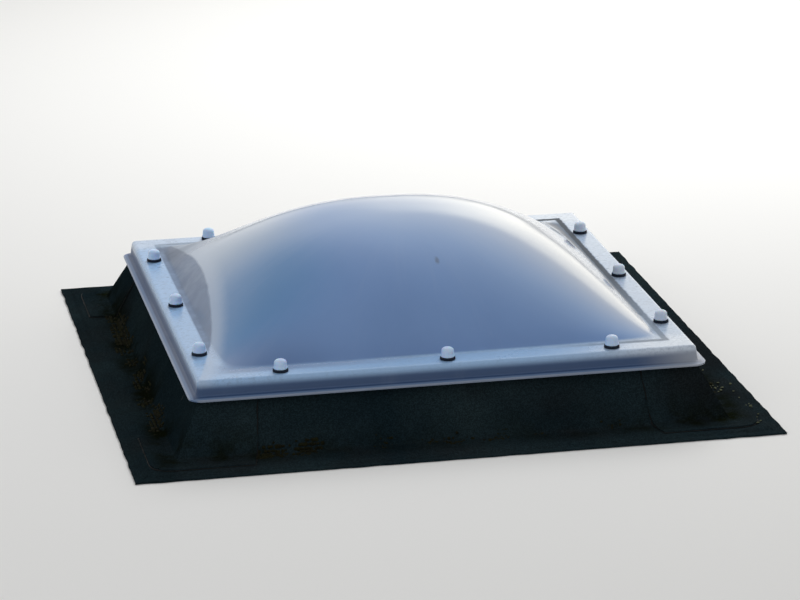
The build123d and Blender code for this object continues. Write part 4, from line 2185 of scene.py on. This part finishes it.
def hidden_finishes() -> dict[str, Finish]:
    """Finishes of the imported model's own pieces that stay.

    Returns:
        The finish of each node, by its name.
    """
    finishes: dict[str, Finish] = {
        "inner_pane": ClearFinish("clear_sheet", srgb(236, 244, 246), srgb(228, 238, 240),
                                  roughness=0.05, spread=0.03, grain=40.0),
        "kerb_outer_skin": LaminateFinish("laminate", srgb(166, 168, 158), srgb(128, 124, 104),
                                          roughness=0.42, spread=0.12, relief=0.0006),
        "kerb_inner_skin": LaminateFinish("gelcoat", srgb(226, 227, 220), srgb(196, 192, 176),
                                          roughness=0.28, relief=0.0002, strands=0.12),
        "kerb_core": Finish("rigid_foam", srgb(206, 190, 140), srgb(190, 168, 112),
                            roughness=0.9, spread=0.05, grain=300.0, relief=0.0006),
        "screws": MetalFinish("stainless_steel", srgb(190, 190, 188), srgb(160, 160, 160),
                              roughness=0.3, grain=700.0, relief=0.00005),
    }
    for tape in ("flange_spacer", "kerb_gasket"):
        finishes[tape] = Finish(f"foam_{tape}", srgb(58, 58, 60), srgb(44, 44, 46),
                                roughness=0.85, spread=0.08, grain=900.0, relief=0.0003)
    for side in Side:
        along = (1.0, 14.0, 14.0) if side in (Side.NEAR, Side.FAR) else (14.0, 1.0, 14.0)
        finishes[f"batten_{side.name.lower()}"] = TimberFinish(
            f"timber_{side.name.lower()}", srgb(196, 164, 116), srgb(150, 112, 68),
            roughness=0.75, spread=0.08, grain=6.0, relief=0.0005, along=along)
    return finishes


def build_unit() -> None:
    """Builds the dome sheet, its fasteners, the felt and what grows on it."""
    dome, fasteners, strips = Dome(), Fasteners(), FeltStrips(KerbWall())
    opal = OpalFinish("opal_acrylic", srgb(94, 131, 184), srgb(106, 142, 194),
                      roughness=0.09, spread=0.03, grain=420.0, relief=0.00004,
                      flange_top=dome.flange_top, foot=dome.foot, edge=dome.reach,
                      screw_row=fasteners.reach, screw_pitch=fasteners.pitch)
    cap = CapFinish("cap_plastic", srgb(198, 223, 254), srgb(184, 210, 244),
                    roughness=0.36, spread=0.08, grain=900.0, relief=0.00006, gloss=0.3)
    washer = Finish("washer_rubber", srgb(12, 22, 38), srgb(22, 32, 48),
                    roughness=0.75, spread=0.12, grain=1200.0, relief=0.0001, gloss=0.2)
    dome.build(opal.build())
    fasteners.build_caps(cap.build())
    fasteners.build_washers(washer.build())
    felt = FeltFinish("roofing_felt", srgb(23, 36, 42), srgb(36, 49, 53),
                      roughness=0.94, spread=0.05, grain=520.0, relief=0.0011, gloss=0.0).build()
    bead = Finish("bitumen", srgb(10, 12, 14), srgb(18, 21, 22),
                  roughness=0.7, spread=0.12, grain=260.0, relief=0.0006, gloss=0.12)
    strips.build(felt)
    corners = FeltCorners(strips)
    corners.build(felt)
    BitumenBeads(corners).build(bead.build())
    # Side, start, end, clumps, tufts, size and spread
    growth = Growth(strips, (
        MossPatch(Side.NEAR, -0.97, -0.5, 16, 40, 0.0052, 0.008),
        MossPatch(Side.NEAR, -0.5, 0.6, 9, 22, 0.0042, 0.005),
        MossPatch(Side.LEFT, -0.97, 0.97, 40, 46, 0.0055, 0.010),
        MossPatch(Side.RIGHT, -0.97, -0.3, 30, 46, 0.0060, 0.016),
        MossPatch(Side.RIGHT, -0.3, 0.9, 14, 26, 0.0048, 0.008),
        MossPatch(Side.FAR, -0.9, 0.9, 14, 24, 0.0048, 0.006),
    ))
    moss = MossFinish("moss", srgb(14, 19, 9), srgb(32, 36, 17),
                      roughness=0.95, spread=0.04, grain=900.0, relief=0.0010, gloss=0.1)
    lichen = Finish("lichen", srgb(98, 102, 84), srgb(60, 66, 46),
                    roughness=0.9, spread=0.05, grain=600.0, relief=0.0008, gloss=0.1)
    growth.build_moss(moss.build())
    growth.build_flakes(lichen.build())


def main() -> None:
    """Builds the studio and every piece in order, and dresses the imported model's pieces that stay."""
    logging.basicConfig(level=logging.INFO, format="%(name)s: %(message)s")
    Studio().build()
    build_unit()
    HiddenParts(hidden_finishes()).dress()


if __name__ == "__main__":
    main()
